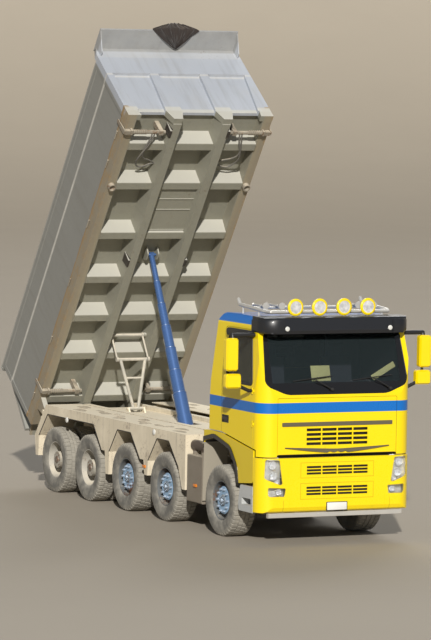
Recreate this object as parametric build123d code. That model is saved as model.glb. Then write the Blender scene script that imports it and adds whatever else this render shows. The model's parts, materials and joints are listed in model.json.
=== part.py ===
from build123d import *
import math
import os

# A five-axle dump truck with its load bed raised, in millimetres. +X is forward, +Y is the
# driver's left and +Z is up. All sizes below are measured from a work datum on the ground under
# the first axle. The finished pieces are moved so that the origin lies on the ground, at the
# middle of the truck's overall length.

# Wheels and axles
AXLE_X = (0, -1980, -3430, -4880, -6220)
STEERED = 3
TYRE_R = 530
TYRE_FACE_Y = 1240
TYRE_WIDTH = 370
TWIN_WIDTH = 300
TWIN_GAP = 40
TYRE_BEAD_R = 292
FIT_GAP = 0.3
RIM_WALL = 14
RIM_INSET = 30
DISC_WALL = 16
HAND_HOLES = 8
HAND_HOLE_R = 22
HAND_HOLE_CIRCLE_R = 236
HUB_CAP_R = 84
HUB_CAP_OUT = 26
BELL_R = 204
BELL_SINK = 34
BELL_DEPTH = 86
DRIVE_HUB_R = 132
DRUM_R = 200
DRUM_WIDTH = 110
WHEEL_RUN_GAP = 24
SPINDLE_R = 42
DRIVE_SPINDLE_R = 62
HUB_WALL = 14
KINGPIN_Y = 930
KINGPIN_R = 24
KINGPIN_BOSS_R = 46
KINGPIN_BOSS_H = 120
KNUCKLE_EAR = 30
KNUCKLE_GAP = 5
BEAM_HEIGHT = 110
BEAM_WIDTH = 90
BEAM_DROP = 60
DRIVE_TUBE_R = 78
DIFF_R = 215
SPRING_Y = 430
SPRING_WIDTH = 80
SPRING_LENGTH = 1300
SPRING_THICK = 60

# Frame rails and subframe
RAIL_OUT_Y = 425
RAIL_FLANGE = 80
RAIL_WEB = 10
RAIL_TOP = 1000
RAIL_HEIGHT = 270
RAIL_FRONT_X = 1040
RAIL_REAR_X = -7000
CROSS_TUBE_R = 55
SUB_FRONT_X = -700
SUB_REAR_X = -6785
SUB_HEIGHT = 368
SUB_WIDTH = 110
DECK_Z = 1352
OUTRIGGER_X = (-1500, -2640, -4060, -5550, -6520)
UNDERRUN_X = -7140

# Rear tipping pivot, in the truck and in the bed
PIVOT_X = -6750
PIVOT_Z = 1260
PIVOT_U = 254
PIVOT_W = -416
PIVOT_PIN_R = 35
PIVOT_EYE_R = 72
PIVOT_EYE_IN_Y = 1130
PIVOT_EYE_OUT_Y = 1212
PIVOT_CHEEK = 30
PIVOT_BEAM_Z = 1080
DECK_SINK = 66
DECK_HALF = 600
BED_TILT = 53.9
HOIST_CHEEK_Y = 82
HOIST_CHEEK = 22
GUIDE_GAP = 8
GUIDE_THICK = 34
GUIDE_LOW_W = -318

# Load bed, in bed lengths u from its rear corner and heights w from its floor seam
BED_HALF_W = 1250
BED_LEN = 6150
BED_REAR_U = -210
FLOOR_PLATE = 30
EDGE_BEAM_W = 160
EDGE_BEAM_H = 200
MAIN_BEAM_Y = 422
MAIN_BEAM_TOP_W = 210
MAIN_BEAM_LOW_W = 140
MAIN_BEAM_H = 300
RIB_U = (350, 1270, 2070, 2870, 3770, 4770, 5550)
RIB_BASE = 300
RIB_RIDGE = 130
RIB_DEPTH = 230
CENTRE_PANEL_U = (3860, 4690)
CENTRE_PANEL_W = -190
BALL_CUP_U = 4760
BALL_CUP_R = 62
GUIDE_U = (3280, 5870)
LOCK_U = (540, 5850)
LOCK_W = -238
LOCK_R = 30
LOCK_IN_Y = 560
LOCK_OUT_Y = 1180
BOOT_PITCH = 34
BALL_CUP_H = 70
BOOT_R = 38
BOOT_RIBS = 7
KNUCKLE_U = (250, 1450, 2650, 3850, 5050, 5620)
SIDE_KNUCKLE_R = 11
SIDE_H = 1330
SIDE_POST = 80
SIDE_THICK = 60
SIDE_LEDGE_W = 870
SIDE_RAIL_W = 1215
SIDE_LOWER_INSET = 14
SIDE_UPPER_INSET = 8
WALL_BASE_U = 6050
WALL_THICK = 50
WALL_PANEL_LOW_W = -60
GUSSET = 14
WALL_FRAME = 100
WALL_TOP_W = 1600
WALL_CORNER_W = 1380
WALL_RECESS_W = 890
POST_TOP_Y = 1150
POST_LOW_Y = 1030
RIB_WALL_Y = 430
RIB_WALL_TOP = 110
RIB_WALL_LOW = 190
CANOPY_U = 6490
CANOPY_HALF_W = 1200
CANOPY_PLATE = 30
GATE_THICK = 60
GATE_GAP = 12
GATE_HINGE_W = 1290
GATE_LOW_W = 42
GATE_OPEN = 15
GATE_PIN_R = 18

# Stabiliser linkage
LINK_FOOT_X = -5780
LINK_FOOT_Z = 1370
LINK_FOOT_HALF = 120
LINK_SEAT_Y = 86
LINK_HEAD_U = 1620
LINK_HEAD_W = -130
LINK_LOW_L = 800
LINK_TOP_L = 450
LINK_HALF_W = 250
LINK_R = 26
LINK_SIDE_GAP = 7
LINK_PLATE = 34
LINK_EYE_R = 38
LINK_PIN_R = 16
LINK_PIN_OUT = 24
LINK_LUG = 26
DECK_PLATE = 8
DECK_SLOT_X = (-4110, -3560)
DECK_SLOT_Y = 150

# Hoist, in one plane at the middle of the truck
TRUNNION_X = -3655
TRUNNION_Z = 900
HOIST_EYE_U = 3252
HOIST_EYE_W = -62
HOIST_STAGES = 7
HOIST_TOP_R = 44
HOIST_STEP_R = 11
HOIST_WALL = 8
HOIST_TUBE_TOP = 575
HOIST_TUBE_LOW = 190
HOIST_COLLAR_STEP = 8
HOIST_COLLAR_H = 26
HOIST_EYE_R = 40
TRUNNION_PIN_R = 32
TRUNNION_CHEEK_Y = 168
TRUNNION_CHEEK = 26
CRADLE_REAR = 340
CRADLE_FRONT = 205

# Cab
CAB_HALF_W = 1245
CAB_FRONT_X = 1350
CAB_REAR_X = -380
CAB_REAR_TOP_X = -215
CAB_ROOF_Z = 3310
CAB_SHOULDER_Z = 2300
CAB_TUMBLE = 55
CAB_CORNER_R = 230
CAB_WALL = 45
CAB_BOTTOM_REAR = (50, 1560)
CAB_BOTTOM_FRONT = (1180, 1390)
CAB_MOUNT_X = ((-370, -290), (965, 1040))
HINGE_R = 9
HINGE_Z = (1760, 2240)
HINGE_H = 36
STEP_IN_Y = 860
GRILLE_HALF = 499
GRILLE_SLOT = 236
GRILLE_BAR = 18
GRILLE_BACK = 6
PANEL_HALF = 975
PANEL_GAP = 5
PANEL_LOW_Z = 1200
PANEL_TOP_Z = 2145
GLASS_DEPTH = 10
GLASS_THICK = 7
DOOR_REAR_X = 30
DOOR_FRONT_X = 1090
DOOR_GAP = 6
BUMPER_LOW_Z = 480
BUMPER_TOP_Z = 1275
BUMPER_FRONT_X = 1375
BUMPER_REAR_X = 1130
BUMPER_WALL = 22
BUMPER_GRILLES = ((725, 865), (1025, 1165))
SEAM_Y = 780
LENS_GAP = 4
UNDER_BAR_X = 1305
UNDER_BAR_Z = 436
UNDER_BAR_HALF = 1090
UNDER_BAR_SIZE = 70
ROOF_TUBE_Z = 3375
ROOF_TUBE_R = 27
HORN_X = 500
HORN_R = 15
HORN_BELL_R = 52
HORN_BELL_L = 110
LAMP_ROOF_Y = (-593, -200, 200, 593)
LAMP_ROOF_X = 1060
LAMP_ROOF_Z = 3445
LAMP_ROOF_R = 122

VISOR_LAMP_Y = 840
VISOR_FRONT_X = 1352
VISOR_HALF_W = 1200
VISOR_CORNER_R = 250
MIRROR_X = 1035
MIRROR_IN_Y = 1486
MIRROR_LOW_IN_Y = 1436
MIRROR_OUT_Y = 1680
MIRROR_ARM_R = 33
MIRROR_ARM_Z = 3048
DEFLECTOR_OUT = 64
AIR_TANK_R = 78
AIR_TANK_Z = 1245
VISOR_LAMP_R = 34

# Mudguards
GUARD_Y = 1250
GUARD_SKIN = 16
GUARD_TOP_Z = 1392
GUARD_FRONT_X = -1190
GUARD_LOW_Z = 870
GUARD_ARCH_TOP_Z = 1240
GUARD_LINER_Y = 640
GUARD_PLATE = 12
GUARD_BEND_R = 30
GUARD_FRONT_LOW_Z = 560


def block(x0, x1, y0, y1, z0, z1):
    """A box between two opposite corners."""
    middle = Pos((x0 + x1) / 2, (y0 + y1) / 2, (z0 + z1) / 2)
    return middle * Box(abs(x1 - x0), abs(y1 - y0), abs(z1 - z0))


def outline_face(rows):
    """A closed face from rows of two coordinates, where a third value rounds that corner."""
    radii = [row[2] if len(row) > 2 else 0 for row in rows]
    points = [row[:2] for row in rows]
    if any(radii):
        return make_face(FilletPolyline(*points, radius=radii, close=True))
    return make_face(Polyline(*points, close=True))


def inset_rows(rows, inset):
    """The same rows with every side moved in by an inset, and the corner radii with them."""
    count = len(rows)
    area = sum(rows[i - 1][0] * rows[i][1] - rows[i][0] * rows[i - 1][1] for i in range(count))
    hand = 1 if area > 0 else -1
    moved = []
    for i in range(count):
        before, here, after = rows[i - 1], rows[i], rows[(i + 1) % count]
        first = Vector(here[0] - before[0], here[1] - before[1]).normalized()
        second = Vector(after[0] - here[0], after[1] - here[1]).normalized()
        cross = first.X * second.Y - first.Y * second.X
        cosine = first.dot(second)
        normal = Vector(-first.Y, first.X) * hand + Vector(-second.Y, second.X) * hand
        step = normal * (inset / (1 + cosine))
        radius = here[2] if len(here) > 2 else 0
        if radius:
            radius = max(radius - inset * (1 if cross * hand > 0 else -1), 1)
        moved.append((here[0] + step.X, here[1] + step.Y, radius))
    return moved


def prism_x(points, x0, x1):
    """A (y, z) outline carried from x0 to x1."""
    return extrude(Plane.YZ.offset(x0) * outline_face(points), x1 - x0)


def prism_y(points, y0, y1):
    """An (x, z) outline carried from y0 to y1."""
    return extrude(Plane.XZ.offset(-y1) * outline_face(points), y1 - y0)


def rod(start, end, radius):
    """A round bar between two points."""
    start = Vector(*start)
    end = Vector(*end)
    lie = Plane(origin=start, z_dir=end - start)
    return lie * Cylinder(radius, (end - start).length, align=(Align.CENTER, Align.CENTER, Align.MIN))


def ring_y(points, x, z):
    """A (y, radius) outline spun about the Y line through x and z."""
    face = Plane.YZ * make_face(Polyline(*points, close=True))
    return Pos(x, 0, z) * revolve(face, Axis.Y)


def flip(shape):
    """The same piece on the other side of the truck."""
    return mirror(shape, about=Plane.XZ)


def sided(shape, side):
    """A left-hand piece, or its mirror on the right."""
    return shape if side > 0 else flip(shape)


def both(shape):
    return [shape, flip(shape)]


def bed_x(u):
    """Truck X of a bed length u, with the bed down."""
    return PIVOT_X - PIVOT_U + u


def bed_z(w):
    """Truck Z of a bed height w, with the bed down."""
    return PIVOT_Z - PIVOT_W + w


def raised(shape):
    """A piece of the bed, drawn with the bed down, turned up to the tilt in which it stands."""
    hinge = Pos(PIVOT_X, 0, PIVOT_Z)
    return hinge * Rot(0, -BED_TILT, 0) * hinge.inverse() * shape


def raised_point(x, z):
    """Where a point of the lowered bed goes when the bed is raised."""
    turn = math.radians(BED_TILT)
    dx = x - PIVOT_X
    dz = z - PIVOT_Z
    return (PIVOT_X + dx * math.cos(turn) - dz * math.sin(turn),
            PIVOT_Z + dx * math.sin(turn) + dz * math.cos(turn))


nodes = {}

SIDES = (("left", 1), ("right", -1))


# Wheels
def tyre_profile(mid_y, width):
    """Bead, sidewall, shoulder and tread of a tyre, as (y, radius) points."""
    half = width / 2
    # Share of the half width, radius
    shape = ((0.80, TYRE_BEAD_R), (0.98, TYRE_BEAD_R + 95), (1.0, TYRE_R - 90), (0.86, TYRE_R - 12), (0.66, TYRE_R))
    outer = [(mid_y + half * share, radius) for share, radius in shape]
    inner = [(mid_y - half * share, radius) for share, radius in reversed(shape)]
    return outer + inner


def single_rim_profile(mid_y, face):
    """Barrel, bell-shaped disc and hub of a front wheel's rim, from its outer lip inwards."""
    lip = mid_y + TYRE_WIDTH / 2 - RIM_INSET
    back = mid_y - TYRE_WIDTH / 2 + RIM_INSET
    out_r = TYRE_BEAD_R - FIT_GAP
    in_r = out_r - RIM_WALL
    bore = SPINDLE_R + FIT_GAP
    cap = face + HUB_CAP_OUT
    behind = face - DISC_WALL
    return [(lip, out_r), (back, out_r), (back, in_r), (lip - BELL_DEPTH - DISC_WALL, in_r),
            (behind, BELL_R), (behind, HUB_CAP_R), (face - 60, HUB_CAP_R), (face - 60, bore),
            (cap - 18, bore), (cap - 18, 0), (cap, 0), (cap, HUB_CAP_R - 14), (cap - 12, HUB_CAP_R),
            (face, HUB_CAP_R + 4), (face, BELL_R - 8), (face - 8, BELL_R + 2),
            (lip - BELL_DEPTH, in_r), (lip - 6, in_r), (lip, in_r + 6)]


def twin_rim_profile(mid_y, disc_y):
    """Barrel and deeply set disc of one rim of a twin wheel."""
    lip = mid_y + TWIN_WIDTH / 2 - RIM_INSET
    back = mid_y - TWIN_WIDTH / 2 + RIM_INSET
    out_r = TYRE_BEAD_R - FIT_GAP
    in_r = out_r - RIM_WALL
    return [(lip, out_r), (back, out_r), (back, in_r), (disc_y - DISC_WALL, in_r), (disc_y - DISC_WALL, DRUM_R - 40),
            (disc_y, DRUM_R - 40), (disc_y + 6, 175), (disc_y + 50, in_r), (lip, in_r + 4)]


def hand_holes(x, y0, y1):
    """The ring of round holes through a wheel disc."""
    bores = []
    for turn in range(HAND_HOLES):
        angle = 2 * math.pi * turn / HAND_HOLES
        hole_x = x + HAND_HOLE_CIRCLE_R * math.sin(angle)
        hole_z = TYRE_R + HAND_HOLE_CIRCLE_R * math.cos(angle)
        bores.append(rod((hole_x, y0, hole_z), (hole_x, y1, hole_z), HAND_HOLE_R))
    return bores


def make_single_wheel(number, x, name, side):
    mid_y = TYRE_FACE_Y - TYRE_WIDTH / 2
    disc_y = TYRE_FACE_Y - RIM_INSET - BELL_SINK
    tyre = ring_y(tyre_profile(mid_y, TYRE_WIDTH), x, TYRE_R)
    rim = ring_y(single_rim_profile(mid_y, disc_y), x, TYRE_R)
    rim = rim - hand_holes(x, disc_y - BELL_DEPTH, disc_y + 40)
    nodes[f"tyre_{number}_{name}"] = [sided(tyre, side)]
    nodes[f"rim_{number}_{name}"] = [sided(rim, side)]


def make_twin_wheel(number, x, name, side):
    outer_mid = TYRE_FACE_Y - TWIN_WIDTH / 2
    inner_mid = outer_mid - TWIN_WIDTH - TWIN_GAP
    middle = (outer_mid + inner_mid) / 2
    outer_rim = twin_rim_profile(outer_mid, middle + DISC_WALL)
    inner_rim = [(2 * middle - y, r) for y, r in outer_rim]
    tyres = [ring_y(tyre_profile(mid, TWIN_WIDTH), x, TYRE_R) for mid in (outer_mid, inner_mid)]
    rim = ring_y(outer_rim, x, TYRE_R) + ring_y(inner_rim, x, TYRE_R)
    rim = rim - hand_holes(x, middle - 60, middle + 60)
    hub_end = TYRE_FACE_Y - 55
    hub = rod((x, middle - DISC_WALL, TYRE_R), (x, hub_end, TYRE_R), DRIVE_HUB_R)
    flange = rod((x, middle + DISC_WALL, TYRE_R), (x, middle + DISC_WALL + 22, TYRE_R), DRUM_R - 10)
    bore = rod((x, middle - DISC_WALL - 1, TYRE_R), (x, hub_end - HUB_WALL, TYRE_R), DRIVE_SPINDLE_R + FIT_GAP)
    nodes[f"tyre_{number}_{name}"] = [sided(tyre, side) for tyre in tyres]
    nodes[f"rim_{number}_{name}"] = [sided(rim + hub + flange - bore, side)]


def make_knuckle(number, x, name, side):
    """Steering knuckle with its kingpin, two ears, steering arm, stub and brake drum."""
    half = KINGPIN_BOSS_H / 2
    ear_low = half + KNUCKLE_GAP
    ear_high = ear_low + KNUCKLE_EAR
    mid_z = TYRE_R
    pin = rod((x, KINGPIN_Y, mid_z - ear_high), (x, KINGPIN_Y, mid_z + ear_high), KINGPIN_R)
    plate_y = KINGPIN_Y + KINGPIN_BOSS_R + 8
    body = pin
    for sign in (-1, 1):
        low = mid_z + sign * ear_low
        high = mid_z + sign * ear_high
        body += rod((x, KINGPIN_Y, low), (x, KINGPIN_Y, high), KINGPIN_BOSS_R)
        body += block(x - KINGPIN_BOSS_R, x + KINGPIN_BOSS_R, KINGPIN_Y, plate_y + 5, low, high)
    body += block(x - KINGPIN_BOSS_R, x + KINGPIN_BOSS_R, plate_y, plate_y + 20, mid_z - ear_high, mid_z + ear_high)
    drum_out = plate_y + 16 + DRUM_WIDTH
    body += rod((x, plate_y + 16, mid_z), (x, drum_out, mid_z), DRUM_R)
    disc_y = TYRE_FACE_Y - RIM_INSET - BELL_SINK
    body += rod((x, drum_out - 5, mid_z), (x, disc_y - 2, mid_z), SPINDLE_R)
    nodes[f"knuckle_{number}_{name}"] = [sided(body, side)]


def make_wheels():
    for index, x in enumerate(AXLE_X):
        for name, side in SIDES:
            if index < STEERED:
                make_single_wheel(index + 1, x, name, side)
                make_knuckle(index + 1, x, name, side)
            else:
                make_twin_wheel(index + 1, x, name, side)


# Axles and springs
def steer_beam(x):
    """Dropped beam with a boss for each kingpin."""
    half_w = BEAM_WIDTH / 2
    half_h = BEAM_HEIGHT / 2
    low = TYRE_R - BEAM_DROP
    end_y = KINGPIN_Y - 40
    outline = [(-end_y, TYRE_R - half_h), (-SPRING_Y - 120, low - half_h), (SPRING_Y + 120, low - half_h),
               (end_y, TYRE_R - half_h), (end_y, TYRE_R + half_h), (SPRING_Y + 120, low + half_h),
               (-SPRING_Y - 120, low + half_h), (-end_y, TYRE_R + half_h)]
    beam = prism_x(outline, x - half_w, x + half_w)
    for y in (-KINGPIN_Y, KINGPIN_Y):
        low_z = TYRE_R - KINGPIN_BOSS_H / 2
        high_z = TYRE_R + KINGPIN_BOSS_H / 2
        beam += rod((x, y, low_z), (x, y, high_z), KINGPIN_BOSS_R)
        beam -= rod((x, y, low_z - 1), (x, y, high_z + 1), KINGPIN_R + FIT_GAP)
    return beam


def drive_beam(x):
    """Axle tube with the round differential housing at its middle."""
    end_y = TYRE_FACE_Y - TWIN_WIDTH - TWIN_GAP / 2 - DISC_WALL - WHEEL_RUN_GAP
    beam = rod((x, -end_y, TYRE_R), (x, end_y, TYRE_R), DRIVE_TUBE_R)
    housing = Pos(x, 0, TYRE_R) * Sphere(DIFF_R)
    nose = rod((x, 0, TYRE_R), (x + DIFF_R + 90, 0, TYRE_R + 60), DRIVE_TUBE_R)
    for side in (-1, 1):
        inner = TYRE_FACE_Y - 2 * TWIN_WIDTH - TWIN_GAP + 30
        beam += rod((x, side * inner, TYRE_R), (x, side * end_y, TYRE_R), DRUM_R)
        tip = TYRE_FACE_Y - 55 - HUB_WALL - 3
        beam += rod((x, side * end_y, TYRE_R), (x, side * tip, TYRE_R), DRIVE_SPINDLE_R)
    return beam + housing + nose


def leaf_spring(x, seat_z):
    """A stack of leaves hung from the rail by two shackles, on the axle's seat."""
    half = SPRING_LENGTH / 2
    rail_low = RAIL_TOP - RAIL_HEIGHT
    rise = rail_low - seat_z - 60
    outline = [(x - half, seat_z + rise), (x - 150, seat_z), (x + 150, seat_z), (x + half, seat_z + rise),
               (x + half, seat_z + rise + 30), (x + 150, seat_z + SPRING_THICK),
               (x - 150, seat_z + SPRING_THICK), (x - half, seat_z + rise + 30)]
    y0 = SPRING_Y - SPRING_WIDTH / 2
    y1 = SPRING_Y + SPRING_WIDTH / 2
    spring = prism_y(outline, y0, y1)
    for end in (-1, 1):
        eye_x = x + end * (half - 40)
        spring += block(eye_x - 30, eye_x + 30, y0, y1, seat_z + rise - 10, rail_low - FIT_GAP)
    return spring


def make_axles():
    pieces = []
    for index, x in enumerate(AXLE_X):
        if index < STEERED:
            axle = steer_beam(x)
            seat_z = TYRE_R - BEAM_DROP + BEAM_HEIGHT / 2
        else:
            axle = drive_beam(x)
            seat_z = TYRE_R + DRIVE_TUBE_R
        pad_low = seat_z - 60
        for side in (-1, 1):
            pad_y = side * SPRING_Y
            axle += block(x - 60, x + 60, pad_y - 45, pad_y + 45, pad_low, seat_z)
            spring = leaf_spring(x, seat_z)
            axle += spring if side > 0 else flip(spring)
        pieces.append(axle)
    nodes["running_gear"] = pieces


# Frame
def channel_rail():
    """One C-section rail, open towards the middle of the truck."""
    low = RAIL_TOP - RAIL_HEIGHT
    out = RAIL_OUT_Y
    inner = RAIL_OUT_Y - RAIL_FLANGE
    web = RAIL_OUT_Y - RAIL_WEB
    outline = [(out, low), (out, RAIL_TOP), (inner, RAIL_TOP), (inner, RAIL_TOP - RAIL_WEB),
               (web, RAIL_TOP - RAIL_WEB), (web, low + RAIL_WEB), (inner, low + RAIL_WEB), (inner, low)]
    return prism_x(outline, RAIL_REAR_X, RAIL_FRONT_X)


def make_chassis_frame():
    rail = channel_rail()
    frame = rail + flip(rail)
    mid_z = RAIL_TOP - RAIL_HEIGHT / 2
    web = RAIL_OUT_Y - RAIL_WEB / 2
    for x in (-1250, -2650, -4180, -5550, -6950):
        frame += rod((x, -web, mid_z), (x, web, mid_z), CROSS_TUBE_R)
    bar_half = STEP_IN_Y - FIT_GAP
    frame += block(RAIL_FRONT_X - 60, RAIL_FRONT_X + 60, -bar_half, bar_half, RAIL_TOP - RAIL_HEIGHT - 40, RAIL_TOP - 40)
    inner = RAIL_OUT_Y - RAIL_FLANGE
    for side in (-1, 1):
        y0, y1 = sorted((side * inner, side * RAIL_OUT_Y))
        bumper_back = BUMPER_FRONT_X - BUMPER_WALL - FIT_GAP
        frame += block(RAIL_FRONT_X + 50, bumper_back, y0, y1, 900, 950)
        for x0, x1 in CAB_MOUNT_X:
            top = min(cab_bottom(x0), cab_bottom(x1)) - FIT_GAP
            frame += block(x0, x1, y0, y1, RAIL_TOP - 5, top)
    nodes["chassis_frame"] = [frame]


def pivot_pedestal():
    """Left rear corner pedestal with the pin on which the bed tips."""
    base_z = PIVOT_BEAM_Z + 20
    cheek_in = PIVOT_EYE_IN_Y - 6 - PIVOT_CHEEK
    cheek_out = PIVOT_EYE_IN_Y - 6
    outline = [(PIVOT_X - 95, base_z), (PIVOT_X + 58, base_z), (PIVOT_X + 48, PIVOT_Z + 20),
               (PIVOT_X + 20, PIVOT_Z + 48), (PIVOT_X - 20, PIVOT_Z + 48), (PIVOT_X - 48, PIVOT_Z + 20)]
    cheek = prism_y(outline, cheek_in, cheek_out)
    pin = rod((PIVOT_X, cheek_in, PIVOT_Z), (PIVOT_X, PIVOT_EYE_OUT_Y + 14, PIVOT_Z), PIVOT_PIN_R)
    return cheek + pin


def make_subframe():
    """Two box beams under the bed, the deck, the hoist cradle and the rear pivot beam."""
    top = RAIL_TOP + SUB_HEIGHT
    half = SUB_WIDTH / 2
    body = None
    for side in (-1, 1):
        y = side * MAIN_BEAM_Y
        low_part = block(SUB_REAR_X, SUB_FRONT_X, y - half, y + half, RAIL_TOP, top)
        body = low_part if body is None else body + low_part
    for x in (-1100, -2300, -2900, -4350, -5200, -6100):
        body += block(x - 40, x + 40, -MAIN_BEAM_Y, MAIN_BEAM_Y, RAIL_TOP + 30, DECK_Z - 60)
    for x in OUTRIGGER_X:
        for side in (-1, 1):
            y0, y1 = sorted((side * MAIN_BEAM_Y, side * (GUARD_LINER_Y + 80 - FIT_GAP)))
            body += block(x - 35, x + 35, y0, y1, GUARD_ARCH_TOP_Z + 25, GUARD_TOP_Z - 60)
    bars = (TRUNNION_X - CRADLE_REAR, TRUNNION_X + CRADLE_FRONT)
    for x in bars:
        body += block(x - 60, x + 60, -MAIN_BEAM_Y, MAIN_BEAM_Y, RAIL_TOP + 5, RAIL_TOP + 115)
    for side in (-1, 1):
        y0, y1 = sorted((side * TRUNNION_CHEEK_Y, side * (TRUNNION_CHEEK_Y + TRUNNION_CHEEK)))
        outline = [(bars[0] + 55, RAIL_TOP + 10), (TRUNNION_X - 90, TRUNNION_Z - 75), (TRUNNION_X + 90, TRUNNION_Z - 75),
                   (bars[1] - 55, RAIL_TOP + 10), (bars[1] - 55, RAIL_TOP + 110), (bars[0] + 55, RAIL_TOP + 110)]
        cheek = prism_y(outline, y0, y1)
        cheek -= rod((TRUNNION_X, y0 - 1, TRUNNION_Z), (TRUNNION_X, y1 + 1, TRUNNION_Z), TRUNNION_PIN_R + FIT_GAP)
        body += cheek
    deck_top = top - DECK_SINK
    deck = block(SUB_REAR_X + 60, SUB_FRONT_X, -DECK_HALF, DECK_HALF, deck_top - DECK_PLATE, deck_top)
    deck -= block(*DECK_SLOT_X, -DECK_SLOT_Y, DECK_SLOT_Y, deck_top - 20, deck_top + 5)
    body += deck
    for side in (-1, 1):
        y0, y1 = sorted((side * (LINK_FOOT_HALF + 3), side * (LINK_FOOT_HALF + 3 + LINK_LUG)))
        lug = [(LINK_FOOT_X - 80, deck_top - 4), (LINK_FOOT_X + 80, deck_top - 4), (LINK_FOOT_X + 24, LINK_FOOT_Z + 22, 16),
               (LINK_FOOT_X - 24, LINK_FOOT_Z + 22, 16)]
        body += prism_y(lug, y0, y1)
        body += rod((LINK_FOOT_X, side * (LINK_SEAT_Y + 2), LINK_FOOT_Z),
                    (LINK_FOOT_X, side * (LINK_FOOT_HALF + LINK_LUG + 12), LINK_FOOT_Z), LINK_PIN_R)
    body += block(PIVOT_X - 100, PIVOT_X + 60, -1215, 1215, PIVOT_BEAM_Z, PIVOT_BEAM_Z + 100)
    pedestal = pivot_pedestal()
    body += [pedestal, flip(pedestal)]
    rail_low = RAIL_TOP - RAIL_HEIGHT
    body_rear = block(UNDERRUN_X - 50, UNDERRUN_X + 50, -1150, 1150, 560, 700)
    for side in (-1, 1):
        y0, y1 = sorted((side * 350, side * 420))
        body_rear += block(UNDERRUN_X, RAIL_REAR_X + 110, y0, y1, 630, rail_low - FIT_GAP)
    nodes["subframe"] = [body, body_rear]


# Mudguards
# Wheel openings as X of their rear low, rear top, front top and front low corners, then the Z down
# to which the leg behind each one hangs
GUARD_ARCHES = ((-2540, -2215, -1790, -1430, 640), (-4012, -3700, -3200, -2850, 510),
                (-6830, -6480, -4630, -4310, 540))
GUARD_LEG = 150


def make_mudguards():
    """Side skin with its wheel openings, the liner and flap in each, and the deck plate above."""
    rear_top = -6560
    outline = [(GUARD_FRONT_X, GUARD_TOP_Z), (GUARD_FRONT_X, GUARD_FRONT_LOW_Z), (GUARD_FRONT_X - 110, GUARD_FRONT_LOW_Z)]
    for rear_low, rear, front, front_low, leg_z in GUARD_ARCHES:
        outline += [(front_low, GUARD_LOW_Z), (front, GUARD_ARCH_TOP_Z, GUARD_BEND_R),
                    (rear, GUARD_ARCH_TOP_Z, GUARD_BEND_R), (rear_low, GUARD_LOW_Z)]
        outline += [(rear_low - 20, leg_z), (rear_low - 20 - GUARD_LEG * 0.7, leg_z), (rear_low - 20 - GUARD_LEG, GUARD_LOW_Z)]
    outline += [(rear_top, GUARD_TOP_Z)]
    guard = prism_y(outline, GUARD_Y - GUARD_SKIN, GUARD_Y)
    guard += block(rear_top, GUARD_FRONT_X, GUARD_LINER_Y, GUARD_Y - 1, GUARD_TOP_Z - GUARD_PLATE, GUARD_TOP_Z)
    guard += block(GUARD_FRONT_X - GUARD_PLATE, GUARD_FRONT_X, GUARD_LINER_Y + 60, GUARD_Y - 1, GUARD_FRONT_LOW_Z, GUARD_TOP_Z - 1)
    for rear_low, rear, front, front_low, leg_z in GUARD_ARCHES:
        liner = [(front_low, GUARD_LOW_Z), (front, GUARD_ARCH_TOP_Z), (rear, GUARD_ARCH_TOP_Z), (rear_low, GUARD_LOW_Z)]
        back = [(rear_low - 14, GUARD_LOW_Z), (rear - 8, GUARD_ARCH_TOP_Z + GUARD_PLATE),
                (front + 8, GUARD_ARCH_TOP_Z + GUARD_PLATE), (front_low + 14, GUARD_LOW_Z)]
        guard += prism_y(liner + back, GUARD_LINER_Y + 60, GUARD_Y - 1)
        flap = [(rear_low, GUARD_LOW_Z + 20), (rear_low - 20, leg_z), (rear_low - 34, leg_z), (rear_low - 14, GUARD_LOW_Z + 20)]
        guard += prism_y(flap, GUARD_LINER_Y + 60, GUARD_Y - 1)
    for x in OUTRIGGER_X:
        guard += block(x - 25, x + 25, GUARD_LINER_Y + 80, GUARD_Y - 8, GUARD_ARCH_TOP_Z, GUARD_TOP_Z - 2)
    guard -= block(PIVOT_X - 110, PIVOT_X + 70, 0, 1225, PIVOT_BEAM_Z - 10, PIVOT_BEAM_Z + 110)
    nodes["mudguards"] = both(guard)


# Load bed, drawn with the bed down
def bed_block(u0, u1, y0, y1, w0, w1):
    return block(bed_x(u0), bed_x(u1), y0, y1, bed_z(w0), bed_z(w1))


def bed_prism(outline, y0, y1):
    """An outline of u, w and corner radius carried across the bed."""
    return prism_y([(bed_x(row[0]), bed_z(row[1]), *row[2:]) for row in outline], y0, y1)


def main_beam(side):
    """One of the two tapered beams that run the length of the floor."""
    y = side * MAIN_BEAM_Y
    section = [(y - MAIN_BEAM_TOP_W / 2, 0), (y + MAIN_BEAM_TOP_W / 2, 0),
               (y + MAIN_BEAM_LOW_W / 2, -MAIN_BEAM_H), (y - MAIN_BEAM_LOW_W / 2, -MAIN_BEAM_H)]
    return prism_x([(py, bed_z(w)) for py, w in section], bed_x(BED_REAR_U), bed_x(BED_LEN - WALL_FRAME))


def hoist_cheek(side):
    """A cheek plate beside the hoist's upper eye."""
    y0, y1 = sorted((side * HOIST_CHEEK_Y, side * (HOIST_CHEEK_Y + HOIST_CHEEK)))
    return bed_prism([(HOIST_EYE_U - 130, 0), (HOIST_EYE_U - 60, -130, 30), (HOIST_EYE_U + 60, -130, 30),
                      (HOIST_EYE_U + 130, 0)], y0, y1)


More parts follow.
